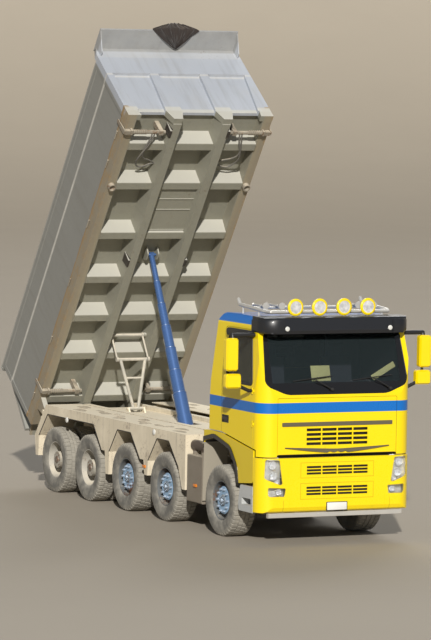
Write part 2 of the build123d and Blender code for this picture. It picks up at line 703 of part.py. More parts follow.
def pivot_lug(side):
    """The lug that hangs from the floor's edge beam to the tipping pivot."""
    y0, y1 = sorted((side * PIVOT_EYE_IN_Y, side * PIVOT_EYE_OUT_Y))
    lug = bed_prism([(PIVOT_U - 120, -EDGE_BEAM_H + 2), (PIVOT_U - 62, PIVOT_W), (PIVOT_U + 62, PIVOT_W),
                     (PIVOT_U + 120, -EDGE_BEAM_H + 2)], y0, y1)
    lug += rod((PIVOT_X, y0, PIVOT_Z), (PIVOT_X, y1, PIVOT_Z), PIVOT_EYE_R)
    return lug - rod((PIVOT_X, y0 - 1, PIVOT_Z), (PIVOT_X, y1 + 1, PIVOT_Z), PIVOT_PIN_R + FIT_GAP)


def make_bed_floor():
    """Floor plate with its edge beams, main beams, pressed ribs, cheeks, lugs and rear lip."""
    front = BED_LEN - WALL_FRAME
    plate_half = BED_HALF_W - SIDE_THICK
    body = bed_block(BED_REAR_U, front, -plate_half, plate_half, 0, FLOOR_PLATE)
    lip = [(BED_REAR_U, 0), (BED_REAR_U, FLOOR_PLATE), (BED_REAR_U - 330, -70), (BED_REAR_U - 330, -90)]
    body += bed_prism(lip, -BED_HALF_W + 110, BED_HALF_W - 110)
    rib_half = BED_HALF_W - EDGE_BEAM_W + 2
    for u in RIB_U:
        rib = [(u - RIB_BASE / 2, 0), (u - RIB_RIDGE / 2, -RIB_DEPTH, 14), (u + RIB_RIDGE / 2, -RIB_DEPTH, 14),
               (u + RIB_BASE / 2, 0)]
        body += bed_prism(rib, -rib_half, rib_half)
    low, high = CENTRE_PANEL_U
    body += bed_block(low, high, -MAIN_BEAM_Y, MAIN_BEAM_Y, CENTRE_PANEL_W, CENTRE_PANEL_W + 20)
    for u in (low + 8, (low + high) / 2, high - 200):
        body += bed_block(u - 8, u + 8, -MAIN_BEAM_Y, MAIN_BEAM_Y, CENTRE_PANEL_W - 10, CENTRE_PANEL_W + 1)
    for side in (-1, 1):
        y0, y1 = sorted((side * (BED_HALF_W - 4), side * (BED_HALF_W - EDGE_BEAM_W)))
        body += bed_block(BED_REAR_U, front, y0, y1, -EDGE_BEAM_H, 0)
        body += main_beam(side)
        body += hoist_cheek(side)
        body += pivot_lug(side)
        out = MAIN_BEAM_Y + SUB_WIDTH / 2 + GUIDE_GAP
        y0, y1 = sorted((side * out, side * (out + GUIDE_THICK)))
        for u in GUIDE_U:
            body += bed_prism([(u - 90, -120), (u - 60, GUIDE_LOW_W), (u + 60, GUIDE_LOW_W), (u + 90, -120)], y0, y1)
            body += bed_block(u - 50, u + 50, min(y0, side * MAIN_BEAM_Y), max(y1, side * MAIN_BEAM_Y), -MAIN_BEAM_H + 40, -160)
        pin_end = LINK_HALF_W + LINK_SIDE_GAP + LINK_PLATE + LINK_PIN_OUT
        head = (bed_x(LINK_HEAD_U), bed_z(LINK_HEAD_W))
        body += rod((head[0], side * (pin_end - LINK_PIN_OUT + 5), head[1]), (head[0], side * MAIN_BEAM_Y, head[1]), LINK_EYE_R)
        body -= rod((head[0], side * (pin_end - LINK_PIN_OUT), head[1]), (head[0], side * (pin_end + 2), head[1]), LINK_PIN_R + 1)
    nodes["bed_floor"] = [raised(body)]


def side_board():
    """The left side board: a lower panel, a ledge, an upper panel and a top rail."""
    out = BED_HALF_W
    inner = BED_HALF_W - SIDE_THICK
    low = out - SIDE_LOWER_INSET
    high = out - SIDE_UPPER_INSET
    section = [(inner, FIT_GAP), (low, FIT_GAP), (low, SIDE_LEDGE_W - 30), (out, SIDE_LEDGE_W - 12),
               (out, SIDE_LEDGE_W), (high, SIDE_LEDGE_W + 8), (high, SIDE_RAIL_W), (out, SIDE_RAIL_W + 10),
               (out, SIDE_H), (inner - 30, SIDE_H), (inner - 30, SIDE_RAIL_W + 30), (inner, SIDE_RAIL_W)]
    section = [(y, bed_z(w)) for y, w in section]
    board = prism_x(section, bed_x(BED_REAR_U), bed_x(BED_LEN - WALL_FRAME) - FIT_GAP)
    for u in (BED_REAR_U, BED_LEN - WALL_FRAME - SIDE_POST):
        board += bed_block(u, u + SIDE_POST - FIT_GAP, inner + 4, out, FIT_GAP, SIDE_RAIL_W + 20)
    hinge_u = BED_REAR_U - GATE_GAP - GATE_THICK / 2
    hinge = (bed_x(hinge_u), bed_z(GATE_HINGE_W))
    board += bed_block(hinge_u - 40, BED_REAR_U + 5, inner, out, GATE_HINGE_W - 45, SIDE_H)
    return board - rod((hinge[0], inner - 1, hinge[1]), (hinge[0], out + 1, hinge[1]), GATE_PIN_R + FIT_GAP)


def front_wall():
    """Front wall: a frame of posts and ribs round three sunk panels, and the canopy on top."""
    face = BED_LEN
    back = face - WALL_FRAME
    x0 = bed_x(back)
    x1 = bed_x(face)
    low = WALL_PANEL_LOW_W
    half = [(POST_LOW_Y + 20, low), (POST_LOW_Y, -EDGE_BEAM_H), (BED_HALF_W, -EDGE_BEAM_H),
            (BED_HALF_W, WALL_CORNER_W), (CANOPY_HALF_W - 20, WALL_TOP_W)]
    outer = half + [(-y, w) for y, w in reversed(half)]
    wall = prism_x([(y, bed_z(w)) for y, w in outer], x0, x1)
    rib_half = RIB_WALL_LOW / 2 + 45
    # Low and high edges of a sunk panel, as low y, high y on one side and then on the other
    sunk = ((-POST_LOW_Y, -POST_TOP_Y, -RIB_WALL_Y - 70, -RIB_WALL_Y - rib_half),
            (-RIB_WALL_Y + rib_half, -RIB_WALL_Y + 70, RIB_WALL_Y - 70, RIB_WALL_Y - rib_half),
            (RIB_WALL_Y + rib_half, RIB_WALL_Y + 70, POST_TOP_Y, POST_LOW_Y))
    for low_a, high_a, high_b, low_b in sunk:
        panel = [(low_a, low - 1), (high_a, WALL_RECESS_W), (high_b, WALL_RECESS_W), (low_b, low - 1)]
        wall -= prism_x([(y, bed_z(w)) for y, w in panel], x0 + WALL_THICK, x1 + 1)
    for y in (-RIB_WALL_Y, RIB_WALL_Y):
        foot = [(y - 150, low), (y + 150, low), (y + 75, -MAIN_BEAM_H + 10), (y - 75, -MAIN_BEAM_H + 10)]
        wall += prism_x([(py, bed_z(w)) for py, w in foot], x0, x1)
    wall += bed_prism([(back, WALL_TOP_W), (face, WALL_TOP_W - CANOPY_PLATE - 40), (CANOPY_U, WALL_TOP_W - CANOPY_PLATE),
                       (CANOPY_U, WALL_TOP_W)], -CANOPY_HALF_W, CANOPY_HALF_W)
    for side in (-1, 1):
        y0, y1 = sorted((side * CANOPY_HALF_W, side * (CANOPY_HALF_W - GUSSET)))
        wall += bed_prism([(face - 5, WALL_TOP_W - 5), (face - 5, 1330), (face + 90, 1330), (CANOPY_U, WALL_TOP_W - 5)], y0, y1)
    return wall


def make_bed_walls():
    walls = both(side_board()) + [front_wall()]
    nodes["bed_walls"] = [raised(wall) for wall in walls]


def side_lock(u):
    """Left side-board lock: a cylinder with a ribbed boot across the bed, and the claw at its end."""
    x = bed_x(u)
    z = bed_z(LOCK_W)
    lock = rod((x, LOCK_IN_Y, z), (x, LOCK_OUT_Y, z), LOCK_R)
    for index in range(BOOT_RIBS):
        y = LOCK_OUT_Y - 70 - index * BOOT_PITCH
        lock += rod((x, y - BOOT_PITCH * 0.6, z), (x, y, z), BOOT_R)
    lock += bed_block(u - 34, u + 34, LOCK_OUT_Y - 15, LOCK_OUT_Y + 60, LOCK_W - 32, LOCK_W + 32)
    claw_in = BED_HALF_W + 6
    claw = [(u - 30, LOCK_W - 32, 20), (u - 30, 60, 20), (u + 30, 60, 20), (u + 44, LOCK_W - 32, 20)]
    lock += bed_prism(claw, claw_in, claw_in + 16)
    lock += bed_block(u - 30, u + 30, LOCK_OUT_Y + 40, claw_in + 2, LOCK_W - 30, LOCK_W + 20)
    lock += bed_block(u - 40, u + 40, LOCK_IN_Y + 40, LOCK_IN_Y + 110, LOCK_W - 34, -FIT_GAP)
    return lock + bed_block(u - 40, u + 40, LOCK_OUT_Y - 60, LOCK_OUT_Y - 25, LOCK_W - 34, -EDGE_BEAM_H - FIT_GAP)


def ball_cup():
    """Cup on the floor's left edge in which a ball pin seats when the bed tips sideways."""
    x = bed_x(BALL_CUP_U)
    y = BED_HALF_W - EDGE_BEAM_W / 2
    top = bed_z(-EDGE_BEAM_H - FIT_GAP)
    cup = Pos(x, y, top) * Cylinder(BALL_CUP_R, BALL_CUP_H, align=(Align.CENTER, Align.CENTER, Align.MAX))
    cup -= Pos(x, y, top - BALL_CUP_H) * Sphere(BALL_CUP_R - 14)
    return cup


def side_knuckle(u):
    """A hinge barrel along the foot of the left side board."""
    y = BED_HALF_W - 4 + FIT_GAP + SIDE_KNUCKLE_R
    z = bed_z(-18)
    return rod((bed_x(u - 75), y, z), (bed_x(u + 75), y, z), SIDE_KNUCKLE_R)


def make_bed_fittings():
    """Locks, ball cups and hinge barrels below the bed's edges, as they stand with the bed raised."""
    pieces = [side_lock(u) for u in LOCK_U]
    pieces.append(ball_cup())
    pieces += [side_knuckle(u) for u in KNUCKLE_U]
    nodes["bed_fittings"] = [raised(copy) for piece in pieces for copy in both(piece)]


def make_tailgate():
    """Top-hung tailgate, drawn shut and then swung open as it hangs."""
    u0 = BED_REAR_U - GATE_GAP
    half = BED_HALF_W - SIDE_THICK - 36
    gate = bed_block(u0 - GATE_THICK, u0, -half, half, GATE_LOW_W, SIDE_H)
    pin_end = BED_HALF_W - 8
    for y in (-1000, -500, 0, 500, 1000):
        gate += bed_block(u0 - GATE_THICK - 50, u0 - GATE_THICK + 1, y - 50, y + 50, 60, SIDE_H - 60)
    hinge_x = bed_x(u0 - GATE_THICK / 2)
    hinge_z = bed_z(GATE_HINGE_W)
    for side in (-1, 1):
        gate += rod((hinge_x, side * (half - 5), hinge_z), (hinge_x, side * pin_end, hinge_z), GATE_PIN_R)
    hinge = Pos(hinge_x, 0, hinge_z)
    opened = hinge * Rot(0, GATE_OPEN, 0) * hinge.inverse() * gate
    nodes["tailgate"] = [raised(opened)]
    return raised_point(hinge_x, hinge_z)


# Stabiliser linkage between the frame and the bed, in one plane and drawn with the bed raised
def link_elbow(foot, head, low_length, top_length):
    """Where the two arms meet, ahead of the line from the foot to the head."""
    dx = head[0] - foot[0]
    dz = head[1] - foot[1]
    span = math.hypot(dx, dz)
    along = (low_length ** 2 - top_length ** 2 + span ** 2) / (2 * span)
    off = math.sqrt(low_length ** 2 - along ** 2)
    return (foot[0] + (dx * along + dz * off) / span, foot[1] + (dz * along - dx * off) / span)


def make_stabiliser():
    """Lower arm, a frame of two bars on the truck, and the upper pair of links on the bed."""
    foot = (LINK_FOOT_X, LINK_FOOT_Z)
    head = raised_point(bed_x(LINK_HEAD_U), bed_z(LINK_HEAD_W))
    elbow = link_elbow(foot, head, LINK_LOW_L, LINK_TOP_L)
    bar_y = LINK_HALF_W - 30
    low_arm = rod((foot[0], -LINK_FOOT_HALF, foot[1]), (foot[0], LINK_FOOT_HALF, foot[1]), LINK_R)
    for side in (-1, 1):
        low_arm -= rod((foot[0], side * LINK_SEAT_Y, foot[1]), (foot[0], side * (LINK_FOOT_HALF + 2), foot[1]), LINK_PIN_R + 1)
    low_arm += rod((elbow[0], -LINK_HALF_W, elbow[1]), (elbow[0], LINK_HALF_W, elbow[1]), LINK_R)
    part = 0.62
    mid = (foot[0] + (elbow[0] - foot[0]) * part, foot[1] + (elbow[1] - foot[1]) * part)
    low_arm += rod((mid[0], -bar_y * part, mid[1]), (mid[0], bar_y * part, mid[1]), LINK_R * 0.7)
    for side in (-1, 1):
        low_arm += rod((foot[0], side * 40, foot[1]), (elbow[0], side * bar_y, elbow[1]), LINK_R)
    links = []
    link_y = LINK_HALF_W + LINK_SIDE_GAP
    for side in (-1, 1):
        y0, y1 = sorted((side * link_y, side * (link_y + LINK_PLATE)))
        middle = side * (link_y + LINK_PLATE / 2)
        link = rod((elbow[0], y0, elbow[1]), (elbow[0], y1, elbow[1]), LINK_EYE_R)
        link += rod((head[0], y0, head[1]), (head[0], y1, head[1]), LINK_EYE_R)
        link += rod((elbow[0], middle, elbow[1]), (head[0], middle, head[1]), LINK_PLATE / 2 - 1)
        links.append(link)
    cross = rod((head[0], -link_y - 5, head[1]), (head[0], link_y + 5, head[1]), LINK_R)
    pin = rod((head[0], -link_y - LINK_PLATE - LINK_PIN_OUT, head[1]), (head[0], link_y + LINK_PLATE + LINK_PIN_OUT, head[1]), LINK_PIN_R)
    nodes["stabiliser_low"] = [low_arm]
    nodes["stabiliser_top"] = [links[0] + links[1] + cross + pin]
    return foot, head, elbow


# Hoist
def stage_radius(stage):
    """Outer radius of a hoist tube, with 0 the lowest and widest."""
    return HOIST_TOP_R + (HOIST_STAGES - stage) * HOIST_STEP_R


def make_hoist():
    """Outer tube on its trunnion and the stages that slide out of it, at their raised lengths."""
    eye_low = (bed_x(HOIST_EYE_U), bed_z(HOIST_EYE_W))
    eye = raised_point(*eye_low)
    long = math.hypot(eye[0] - TRUNNION_X, eye[1] - TRUNNION_Z)
    short = math.hypot(eye_low[0] - TRUNNION_X, eye_low[1] - TRUNNION_Z)
    stroke = (long - short) / HOIST_STAGES
    lean = math.degrees(math.atan2(eye[0] - TRUNNION_X, eye[1] - TRUNNION_Z))
    lean_low = math.degrees(math.atan2(eye_low[0] - TRUNNION_X, eye_low[1] - TRUNNION_Z))
    stand = Pos(TRUNNION_X, 0, TRUNNION_Z) * Rot(0, lean, 0)
    base = -HOIST_TUBE_LOW
    radius = stage_radius(0)
    tube = Pos(0, 0, base) * Cylinder(radius, HOIST_TUBE_TOP - base, align=(Align.CENTER, Align.CENTER, Align.MIN))
    tube -= Pos(0, 0, base + 20) * Cylinder(radius - HOIST_WALL, HOIST_TUBE_TOP - base, align=(Align.CENTER, Align.CENTER, Align.MIN))
    tube += gland(0, HOIST_TUBE_TOP)
    cheek_out = TRUNNION_CHEEK_Y + TRUNNION_CHEEK
    for side in (-1, 1):
        tube += rod((0, side * (radius - 4), 0), (0, side * (cheek_out + 8), 0), TRUNNION_PIN_R)
    nodes["hoist_tube"] = [stand * tube]
    for stage in range(1, HOIST_STAGES + 1):
        foot = base + 20 + 4 * stage + stage * stroke
        top = HOIST_TUBE_TOP + stage * (stroke + HOIST_COLLAR_STEP)
        radius = stage_radius(stage)
        if stage < HOIST_STAGES:
            height = top - foot
            piece = Pos(0, 0, foot) * Cylinder(radius, height, align=(Align.CENTER, Align.CENTER, Align.MIN))
            piece -= Pos(0, 0, foot - 1) * Cylinder(radius - HOIST_WALL, height + 2, align=(Align.CENTER, Align.CENTER, Align.MIN))
            piece += gland(stage, top)
        else:
            piece = Pos(0, 0, foot) * Cylinder(radius, long - HOIST_EYE_R + 10 - foot, align=(Align.CENTER, Align.CENTER, Align.MIN))
            piece += rod((0, -HOIST_EYE_R, long), (0, HOIST_EYE_R, long), HOIST_EYE_R)
            piece += rod((0, -76, long), (0, 76, long), 20)
        foot_ring_out = stage_radius(stage - 1) - HOIST_WALL - FIT_GAP
        if foot_ring_out > radius:
            ring = Pos(0, 0, foot) * Cylinder(foot_ring_out, 30, align=(Align.CENTER, Align.CENTER, Align.MIN))
            if stage < HOIST_STAGES:
                ring -= Pos(0, 0, foot - 1) * Cylinder(radius - HOIST_WALL, 32, align=(Align.CENTER, Align.CENTER, Align.MIN))
            piece += ring
        nodes[f"hoist_stage_{stage}"] = [stand * piece]
    return eye, eye_low, stroke, lean, lean_low


def gland(stage, top):
    """The collar at a tube's mouth, which guides the next stage."""
    out_r = stage_radius(stage)
    in_r = stage_radius(stage + 1) + FIT_GAP
    collar = Pos(0, 0, top - HOIST_COLLAR_H) * Cylinder(out_r, HOIST_COLLAR_H, align=(Align.CENTER, Align.CENTER, Align.MIN))
    return collar - Pos(0, 0, top - HOIST_COLLAR_H - 1) * Cylinder(in_r, HOIST_COLLAR_H + 2, align=(Align.CENTER, Align.CENTER, Align.MIN))


# Cab
def cab_side_rows():
    """Cab outline seen from its side, as rows of x, z and corner radius."""
    return [(CAB_REAR_X, 1560, 15), (CAB_REAR_X, 2050, 200), (CAB_REAR_TOP_X, CAB_ROOF_Z - 8, 110),
            (300, CAB_ROOF_Z, 900), (960, CAB_ROOF_Z - 20, 150),
            (1060, 3200, 60), (1100, 3090, 50), (1330, 2320, 100), (CAB_FRONT_X, 2180, 80), (CAB_FRONT_X, 1290, 0),
            (1180, 1290, 0), (*CAB_BOTTOM_FRONT, 0), (*CAB_BOTTOM_REAR, 40)]


def cab_bottom(x):
    """Height of the cab's underside at an X ahead of its rear wall."""
    x0, z0 = CAB_BOTTOM_REAR
    x1, z1 = CAB_BOTTOM_FRONT
    return z0 + (z1 - z0) * max(0, x - x0) / (x1 - x0)


def cab_solid(inset):
    """The cab's closed form, drawn in from its outer skin by an inset."""
    side = inset_rows(cab_side_rows(), inset)
    form = prism_y(side, -2000, 2000)
    half = CAB_HALF_W - inset
    front = CAB_FRONT_X - inset
    rear = CAB_REAR_X - 200 + inset
    plan = Pos((front + rear) / 2, 0) * RectangleRounded(front - rear, 2 * half, CAB_CORNER_R - inset)
    form &= extrude(Plane.XY.offset(1000) * plan, 2600)
    top_half = half - CAB_TUMBLE
    right = [(half, 1000, 0), (half, CAB_SHOULDER_Z, 600), (top_half, 3190, 120), (top_half - 90, CAB_ROOF_Z - inset, 90)]
    gable = right + [(-y, z, r) for y, z, r in reversed(right)]
    form &= prism_x(gable, -1000, 2000)
    return form


def door_outline(gap):
    """Door outline in (x, z), drawn in by a gap on every side."""
    rows = [(DOOR_REAR_X, 1150, 0), (DOOR_REAR_X, 3120, 90), (1040, 3120, 70), (DOOR_FRONT_X, 2900, 60), (DOOR_FRONT_X, 1150, 0)]
    return inset_rows(rows, gap)


def door_slab(depth):
    """The layer of the cab's left side from its skin in to a depth, with the tumblehome."""
    inner = CAB_HALF_W - depth
    return prism_x([(inner, 1000), (inner, CAB_SHOULDER_Z), (inner - CAB_TUMBLE, 3200), (inner - CAB_TUMBLE, 3400),
                    (1500, 3400), (1500, 1000)], -600, 1600)


def window_outline(gap):
    """Side window outline in (x, z)."""
    rows = [(180, 2330, 60), (180, 3010, 80), (930, 3010, 70), (1035, 2330, 60)]
    return inset_rows(rows, gap)


def screen_outline(gap):
    """Windscreen outline seen from the front, as (y, z) points."""
    right = [(820, 2188, 400), (1172, 2330, 150), (1118, 3085, 70)]
    rows = right + [(-y, z, r) for y, z, r in reversed(right)]
    return inset_rows(rows, gap)


def hinge_barrel(low, high, reach, step):
    """Part of a door hinge: a length of barrel with its leaf, which reaches back or forward."""
    hinge_x = DOOR_FRONT_X - DOOR_GAP / 2
    hinge_y = CAB_HALF_W + HINGE_R + 1
    x0, x1 = sorted((hinge_x, hinge_x + reach))
    leaf = block(x0, x1, CAB_HALF_W + 1, hinge_y + HINGE_R - 2, low, high)
    x0, x1 = sorted((hinge_x + step, hinge_x + reach))
    return rod((hinge_x, hinge_y, low), (hinge_x, hinge_y, high), HINGE_R) + leaf + block(
        x0, x1, CAB_HALF_W - 5, CAB_HALF_W + 2, low, high)


def make_doors(outer, glass_layer):
    """Doors with their windows cut, handles and hinge barrels; returns what the shell loses and gains."""
    door = outer & door_slab(CAB_WALL - DOOR_GAP) & prism_y(door_outline(DOOR_GAP), 900, 1400)
    door -= prism_y(window_outline(0), 900, 1400)
    pocket = prism_y([(50, 1700, 16), (50, 1815, 16), (280, 1815, 16), (280, 1700, 16)], CAB_HALF_W - 14, CAB_HALF_W + 1)
    door -= pocket
    door += prism_y([(66, 1742, 10), (66, 1788, 10), (268, 1788, 10), (268, 1742, 10)], CAB_HALF_W - 15, CAB_HALF_W + 8)
    cut = door_slab(CAB_WALL) & prism_y(door_outline(0), 900, 1400)
    knuckles = None
    half_gap = DOOR_GAP / 2
    for z in HINGE_Z:
        low = z - HINGE_H / 2
        high = z + HINGE_H / 2
        door += hinge_barrel(high + 0.5, z + HINGE_H * 1.2, -30, -half_gap)
        door += hinge_barrel(z - HINGE_H * 1.2, low - 0.5, -30, -half_gap)
        barrel = hinge_barrel(low, high, 30, half_gap)
        knuckles = barrel if knuckles is None else knuckles + barrel
    glass = glass_layer & prism_y(window_outline(FIT_GAP), 900, 1400)
    for name, side in SIDES:
        nodes[f"door_{name}"] = [sided(door, side)]
        nodes[f"door_glass_{name}"] = [sided(glass, side)]
    return cut, knuckles


def grille_slots(low, pitch, height, rows):
    """Rows of four slots across the front."""
    slots = []
    for row in range(rows):
        for column in range(4):
            y0 = -GRILLE_HALF + column * (GRILLE_SLOT + GRILLE_BAR)
            slots.append(block(1200, 1500, y0, y0 + GRILLE_SLOT, low + row * pitch, low + row * pitch + height))
    return slots


def make_cab():
    outer = cab_solid(0)
    wall = outer - cab_solid(CAB_WALL)
    glass_layer = cab_solid(GLASS_DEPTH) - cab_solid(GLASS_DEPTH + GLASS_THICK)
    cut, knuckles = make_doors(outer, glass_layer)
    shell = wall
    for side in (-1, 1):
        shell -= sided(cut, side)
        shell += sided(knuckles, side)
    shell -= prism_x(screen_outline(0), 1030, 1500)
    screen = glass_layer & prism_x(screen_outline(FIT_GAP), 1045, 1500)
    panel_rows = [(-PANEL_HALF, PANEL_LOW_Z), (PANEL_HALF, PANEL_LOW_Z), (PANEL_HALF, PANEL_TOP_Z, 20), (-PANEL_HALF, PANEL_TOP_Z, 20)]
    shell -= prism_x(panel_rows, 1200, 1500)
    panel = wall & prism_x(inset_rows(panel_rows, PANEL_GAP), 1200, 1500) & block(1200, 1500, -1300, 1300, 1318, 2300)
    panel -= grille_slots(1452, 68, 42, 4)
    mesh_x = CAB_FRONT_X - CAB_WALL
    panel += block(mesh_x - GRILLE_BACK, mesh_x + 3, -GRILLE_HALF - 40, GRILLE_HALF + 40, 1430, 1740)
    rear_rows = [(-600, 2450, 60), (600, 2450, 60), (600, 2950, 60), (-600, 2950, 60)]
    shell -= prism_x(rear_rows, -500, -100)
    rear_glass = glass_layer & prism_x(inset_rows(rear_rows, FIT_GAP), -500, -100)
    nodes["cab_shell"] = [shell]
    nodes["front_panels"] = [panel]
    nodes["windscreen"] = [screen, rear_glass]


def bumper_form(inset):
    """The bumper's closed form, drawn in by an inset and then open at its back."""
    front = BUMPER_FRONT_X - inset
    back = front - 900
    plan = Pos((front + back) / 2, 0) * RectangleRounded(front - back, 2 * (CAB_HALF_W - inset), CAB_CORNER_R - inset)
    form = extrude(Plane.XY.offset(BUMPER_LOW_Z - 10) * plan, BUMPER_TOP_Z - BUMPER_LOW_Z + 20)
    rear = BUMPER_REAR_X - (400 if inset else 0)
    low = BUMPER_LOW_Z - (1 if inset else 0)
    top = BUMPER_TOP_Z + (1 if inset else 0)
    side = [(rear, low), (front - 60, low), (front - 24, low + 22), (front, low + 74), (front, top - 6), (front - 14, top),
            (rear, top)]
    return form & prism_y(side, -1400, 1400)


def make_bumper():
    shell = bumper_form(0) - bumper_form(BUMPER_WALL)
    lens_layer = bumper_form(4) & block(BUMPER_REAR_X, 1500, -1400, 1400, BUMPER_LOW_Z + 5, BUMPER_TOP_Z - 5)
    lens_layer -= bumper_form(30)
    lamps = []
    # Corners of the headlamp and of the fog lamp, as y, z and corner radius
    head = ((940, 1250, 20), (880, 870, 30), (1120, 960, 40), (1160, 985, 30), (1150, 1262, 30))
    fog = ((830, 835, 14), (850, 715, 14), (1110, 715, 40), (1110, 850, 20))
    for rows in (head, fog):
        for side in (-1, 1):
            placed = [(side * y, z, radius) for y, z, radius in rows]
            hole = prism_x(placed, 1050, 1500)
            shell -= hole
            lamps.append(lens_layer & prism_x(inset_rows(placed, LENS_GAP), 1050, 1500))
    for low, high in BUMPER_GRILLES:
        pitch = (high - low) / 3
        shell -= grille_slots(low, pitch, pitch - 14, 3)
    for side in (-1, 1):
        shell -= block(BUMPER_FRONT_X - 5, 1500, side * SEAM_Y - 2, side * SEAM_Y + 2, BUMPER_LOW_Z - 5, 700)
    mesh_x = BUMPER_FRONT_X - BUMPER_WALL
    for low, high in BUMPER_GRILLES:
        shell += block(mesh_x - GRILLE_BACK, mesh_x + 3, -GRILLE_HALF - 40, GRILLE_HALF + 40, low - 20, high + 20)
    nodes["front_panels"].append(shell)
    for y in LAMP_ROOF_Y:
        face = LAMP_ROOF_X + 39 + FIT_GAP
        lens = rod((face, y, LAMP_ROOF_Z), (face + 6, y, LAMP_ROOF_Z), LAMP_ROOF_R - 16)
        lamps.append(lens + Pos(face + 6, y, LAMP_ROOF_Z) * Rot(0, 90, 0) * Cone(LAMP_ROOF_R - 16, LAMP_ROOF_R - 60, 12,
                     align=(Align.CENTER, Align.CENTER, Align.MIN)))
    nodes["lamps"] = lamps


def horn(y, length):
    """A horn's trumpet, on the roof rack's cross tube."""
    z = ROOF_TUBE_Z + 35 + ROOF_TUBE_R * 0.7 + HORN_R
    x0 = HORN_X - length / 2
    bell = x0 + length
    trumpet = rod((x0, y, z), (bell - HORN_BELL_L, y, z), HORN_R)
    trumpet += Pos(bell - HORN_BELL_L, y, z) * Rot(0, 90, 0) * Cone(HORN_R, HORN_BELL_R, HORN_BELL_L,
                                                                   align=(Align.CENTER, Align.CENTER, Align.MIN))
    trumpet += Pos(x0, y, z) * Sphere(HORN_R * 1.7)
    return trumpet + block(HORN_X - 14, HORN_X + 14, y - 10, y + 10, ROOF_TUBE_Z + 35, z)


def make_steel_bars():
    """Roof tube with its lamp housings and horns, and the bar under the bumper."""
    z = ROOF_TUBE_Z
    r = ROOF_TUBE_R
    front_x = LAMP_ROOF_X - 20
    bar = rod((front_x, -960, z), (front_x, 960, z), r)
    for side in (-1, 1):
        bar += rod((front_x, side * 960, z), (900, side * 1010, z + 10), r)
        bar += rod((900, side * 1010, z + 10), (120, side * 1010, z + 60), r)
        bar += rod((120, side * 1010, z + 60), (60, side * 1010, z + 130), r)
        for x, y, height in ((front_x, 960, 0), (900, 1010, 10), (120, 1010, 60), (60, 1010, 130)):
            bar += Pos(x, side * y, z + height) * Sphere(r)
        for x, height in ((750, 20), (220, 50)):
            bar += rod((x, side * 1010, CAB_ROOF_Z - 60), (x, side * 1010, z + height), r * 0.6)
    bar += rod((HORN_X, -1010, z + 35), (HORN_X, 1010, z + 35), r * 0.7)
    # Horns across the roof, as y and length
    for y, length in ((-880, 420), (-640, 520), (640, 420), (880, 480)):
        bar += horn(y, length)
    for y in LAMP_ROOF_Y:
        bar += rod((LAMP_ROOF_X + 9, y, LAMP_ROOF_Z), (LAMP_ROOF_X + 39, y, LAMP_ROOF_Z), LAMP_ROOF_R)
        bar += Pos(LAMP_ROOF_X + 9, y, LAMP_ROOF_Z) * Rot(0, -90, 0) * Cone(LAMP_ROOF_R, LAMP_ROOF_R - 70, 62,
                                                                            align=(Align.CENTER, Align.CENTER, Align.MIN))
        bar += block(front_x - 10, front_x + 10, y - 14, y + 14, z, LAMP_ROOF_Z - LAMP_ROOF_R + 12)
    bar -= cab_solid(-FIT_GAP)
    size = UNDER_BAR_SIZE / 2
    half = UNDER_BAR_HALF
    under = prism_y([(UNDER_BAR_X - size, UNDER_BAR_Z - size, 10), (UNDER_BAR_X + size, UNDER_BAR_Z - size, 10),
                     (UNDER_BAR_X + size, UNDER_BAR_Z + size, 10), (UNDER_BAR_X - size, UNDER_BAR_Z + size, 10)], -half, half)
    for side in (-1, 1):
        y0, y1 = sorted((side * 560, side * 640))
        back = RAIL_FRONT_X + 60 + FIT_GAP
        under += block(UNDER_BAR_X - 35, UNDER_BAR_X - 15, y0, y1, UNDER_BAR_Z, BUMPER_LOW_Z + 60)
        under += block(back, UNDER_BAR_X - 15, y0, y1, BUMPER_LOW_Z + 10, BUMPER_LOW_Z + 60)
        under += block(back, back + 30, y0, y1, BUMPER_LOW_Z + 10, RAIL_TOP - RAIL_HEIGHT + 60)
    nodes["steel_bars"] = bar.solids() + [under]


def make_black_trim():
    """Sun visor over the windscreen with its two marker lamps, and the trims above and below the grille."""
    crest = [(930, 3318), (1240, 3306, 40), (1340, 3125, 20), (1322, 3072), (1296, 3110), (1205, 3262), (930, 3262)]
    cheek = [(1040, 3290), (1215, 3280, 30), (1310, 3100, 10), (1085, 3085)]
    visor = prism_y(crest, -1205, 1205)
    for side in (-1, 1):
        y0, y1 = sorted((side * 1185, side * 1205))
        visor += prism_y(cheek, y0, y1)
        visor += rod((1290, side * VISOR_LAMP_Y, 3150), (1350, side * VISOR_LAMP_Y, 3158), VISOR_LAMP_R)
    plan = Pos((VISOR_FRONT_X + 300) / 2, 0) * RectangleRounded(VISOR_FRONT_X - 300, 2 * VISOR_HALF_W, VISOR_CORNER_R)
    visor &= extrude(Plane.XY.offset(2900) * plan, 600)
    pieces = (visor - cab_solid(-FIT_GAP)).solids()
    face = CAB_FRONT_X + FIT_GAP
    upper = [(-900, 1732, 10), (900, 1732, 10), (900, 1790, 10), (-900, 1790, 10)]
    lower = [(-850, 1428), (0, 1392, 3000), (850, 1428), (850, 1412), (0, 1364, 3000), (-850, 1412)]
    for rows in (upper, lower):
        pieces.append(prism_x(rows, face, face + 12))
    nodes["black_trim"] = pieces


def seat(y):
    """A cab seat on its pedestal, with its back and headrest."""
    cushion = prism_y([(200, 1830), (700, 1830, 50), (700, 1980, 50), (200, 1955)], y - 250, y + 250)
    back = prism_y([(160, 1880), (290, 1880), (200, 2650), (90, 2630)], y - 236, y + 236)
    rest = prism_y([(75, 2600), (150, 2600), (140, 2860, 25), (80, 2850, 25)], y - 130, y + 130)
    lift = CAB_WALL * 1.012 + FIT_GAP
    stand = prism_y([(260, cab_bottom(260) + lift), (620, cab_bottom(620) + lift), (620, 1850), (260, 1850)],
                    y - 160, y + 160)
    return cushion + back + rest + stand


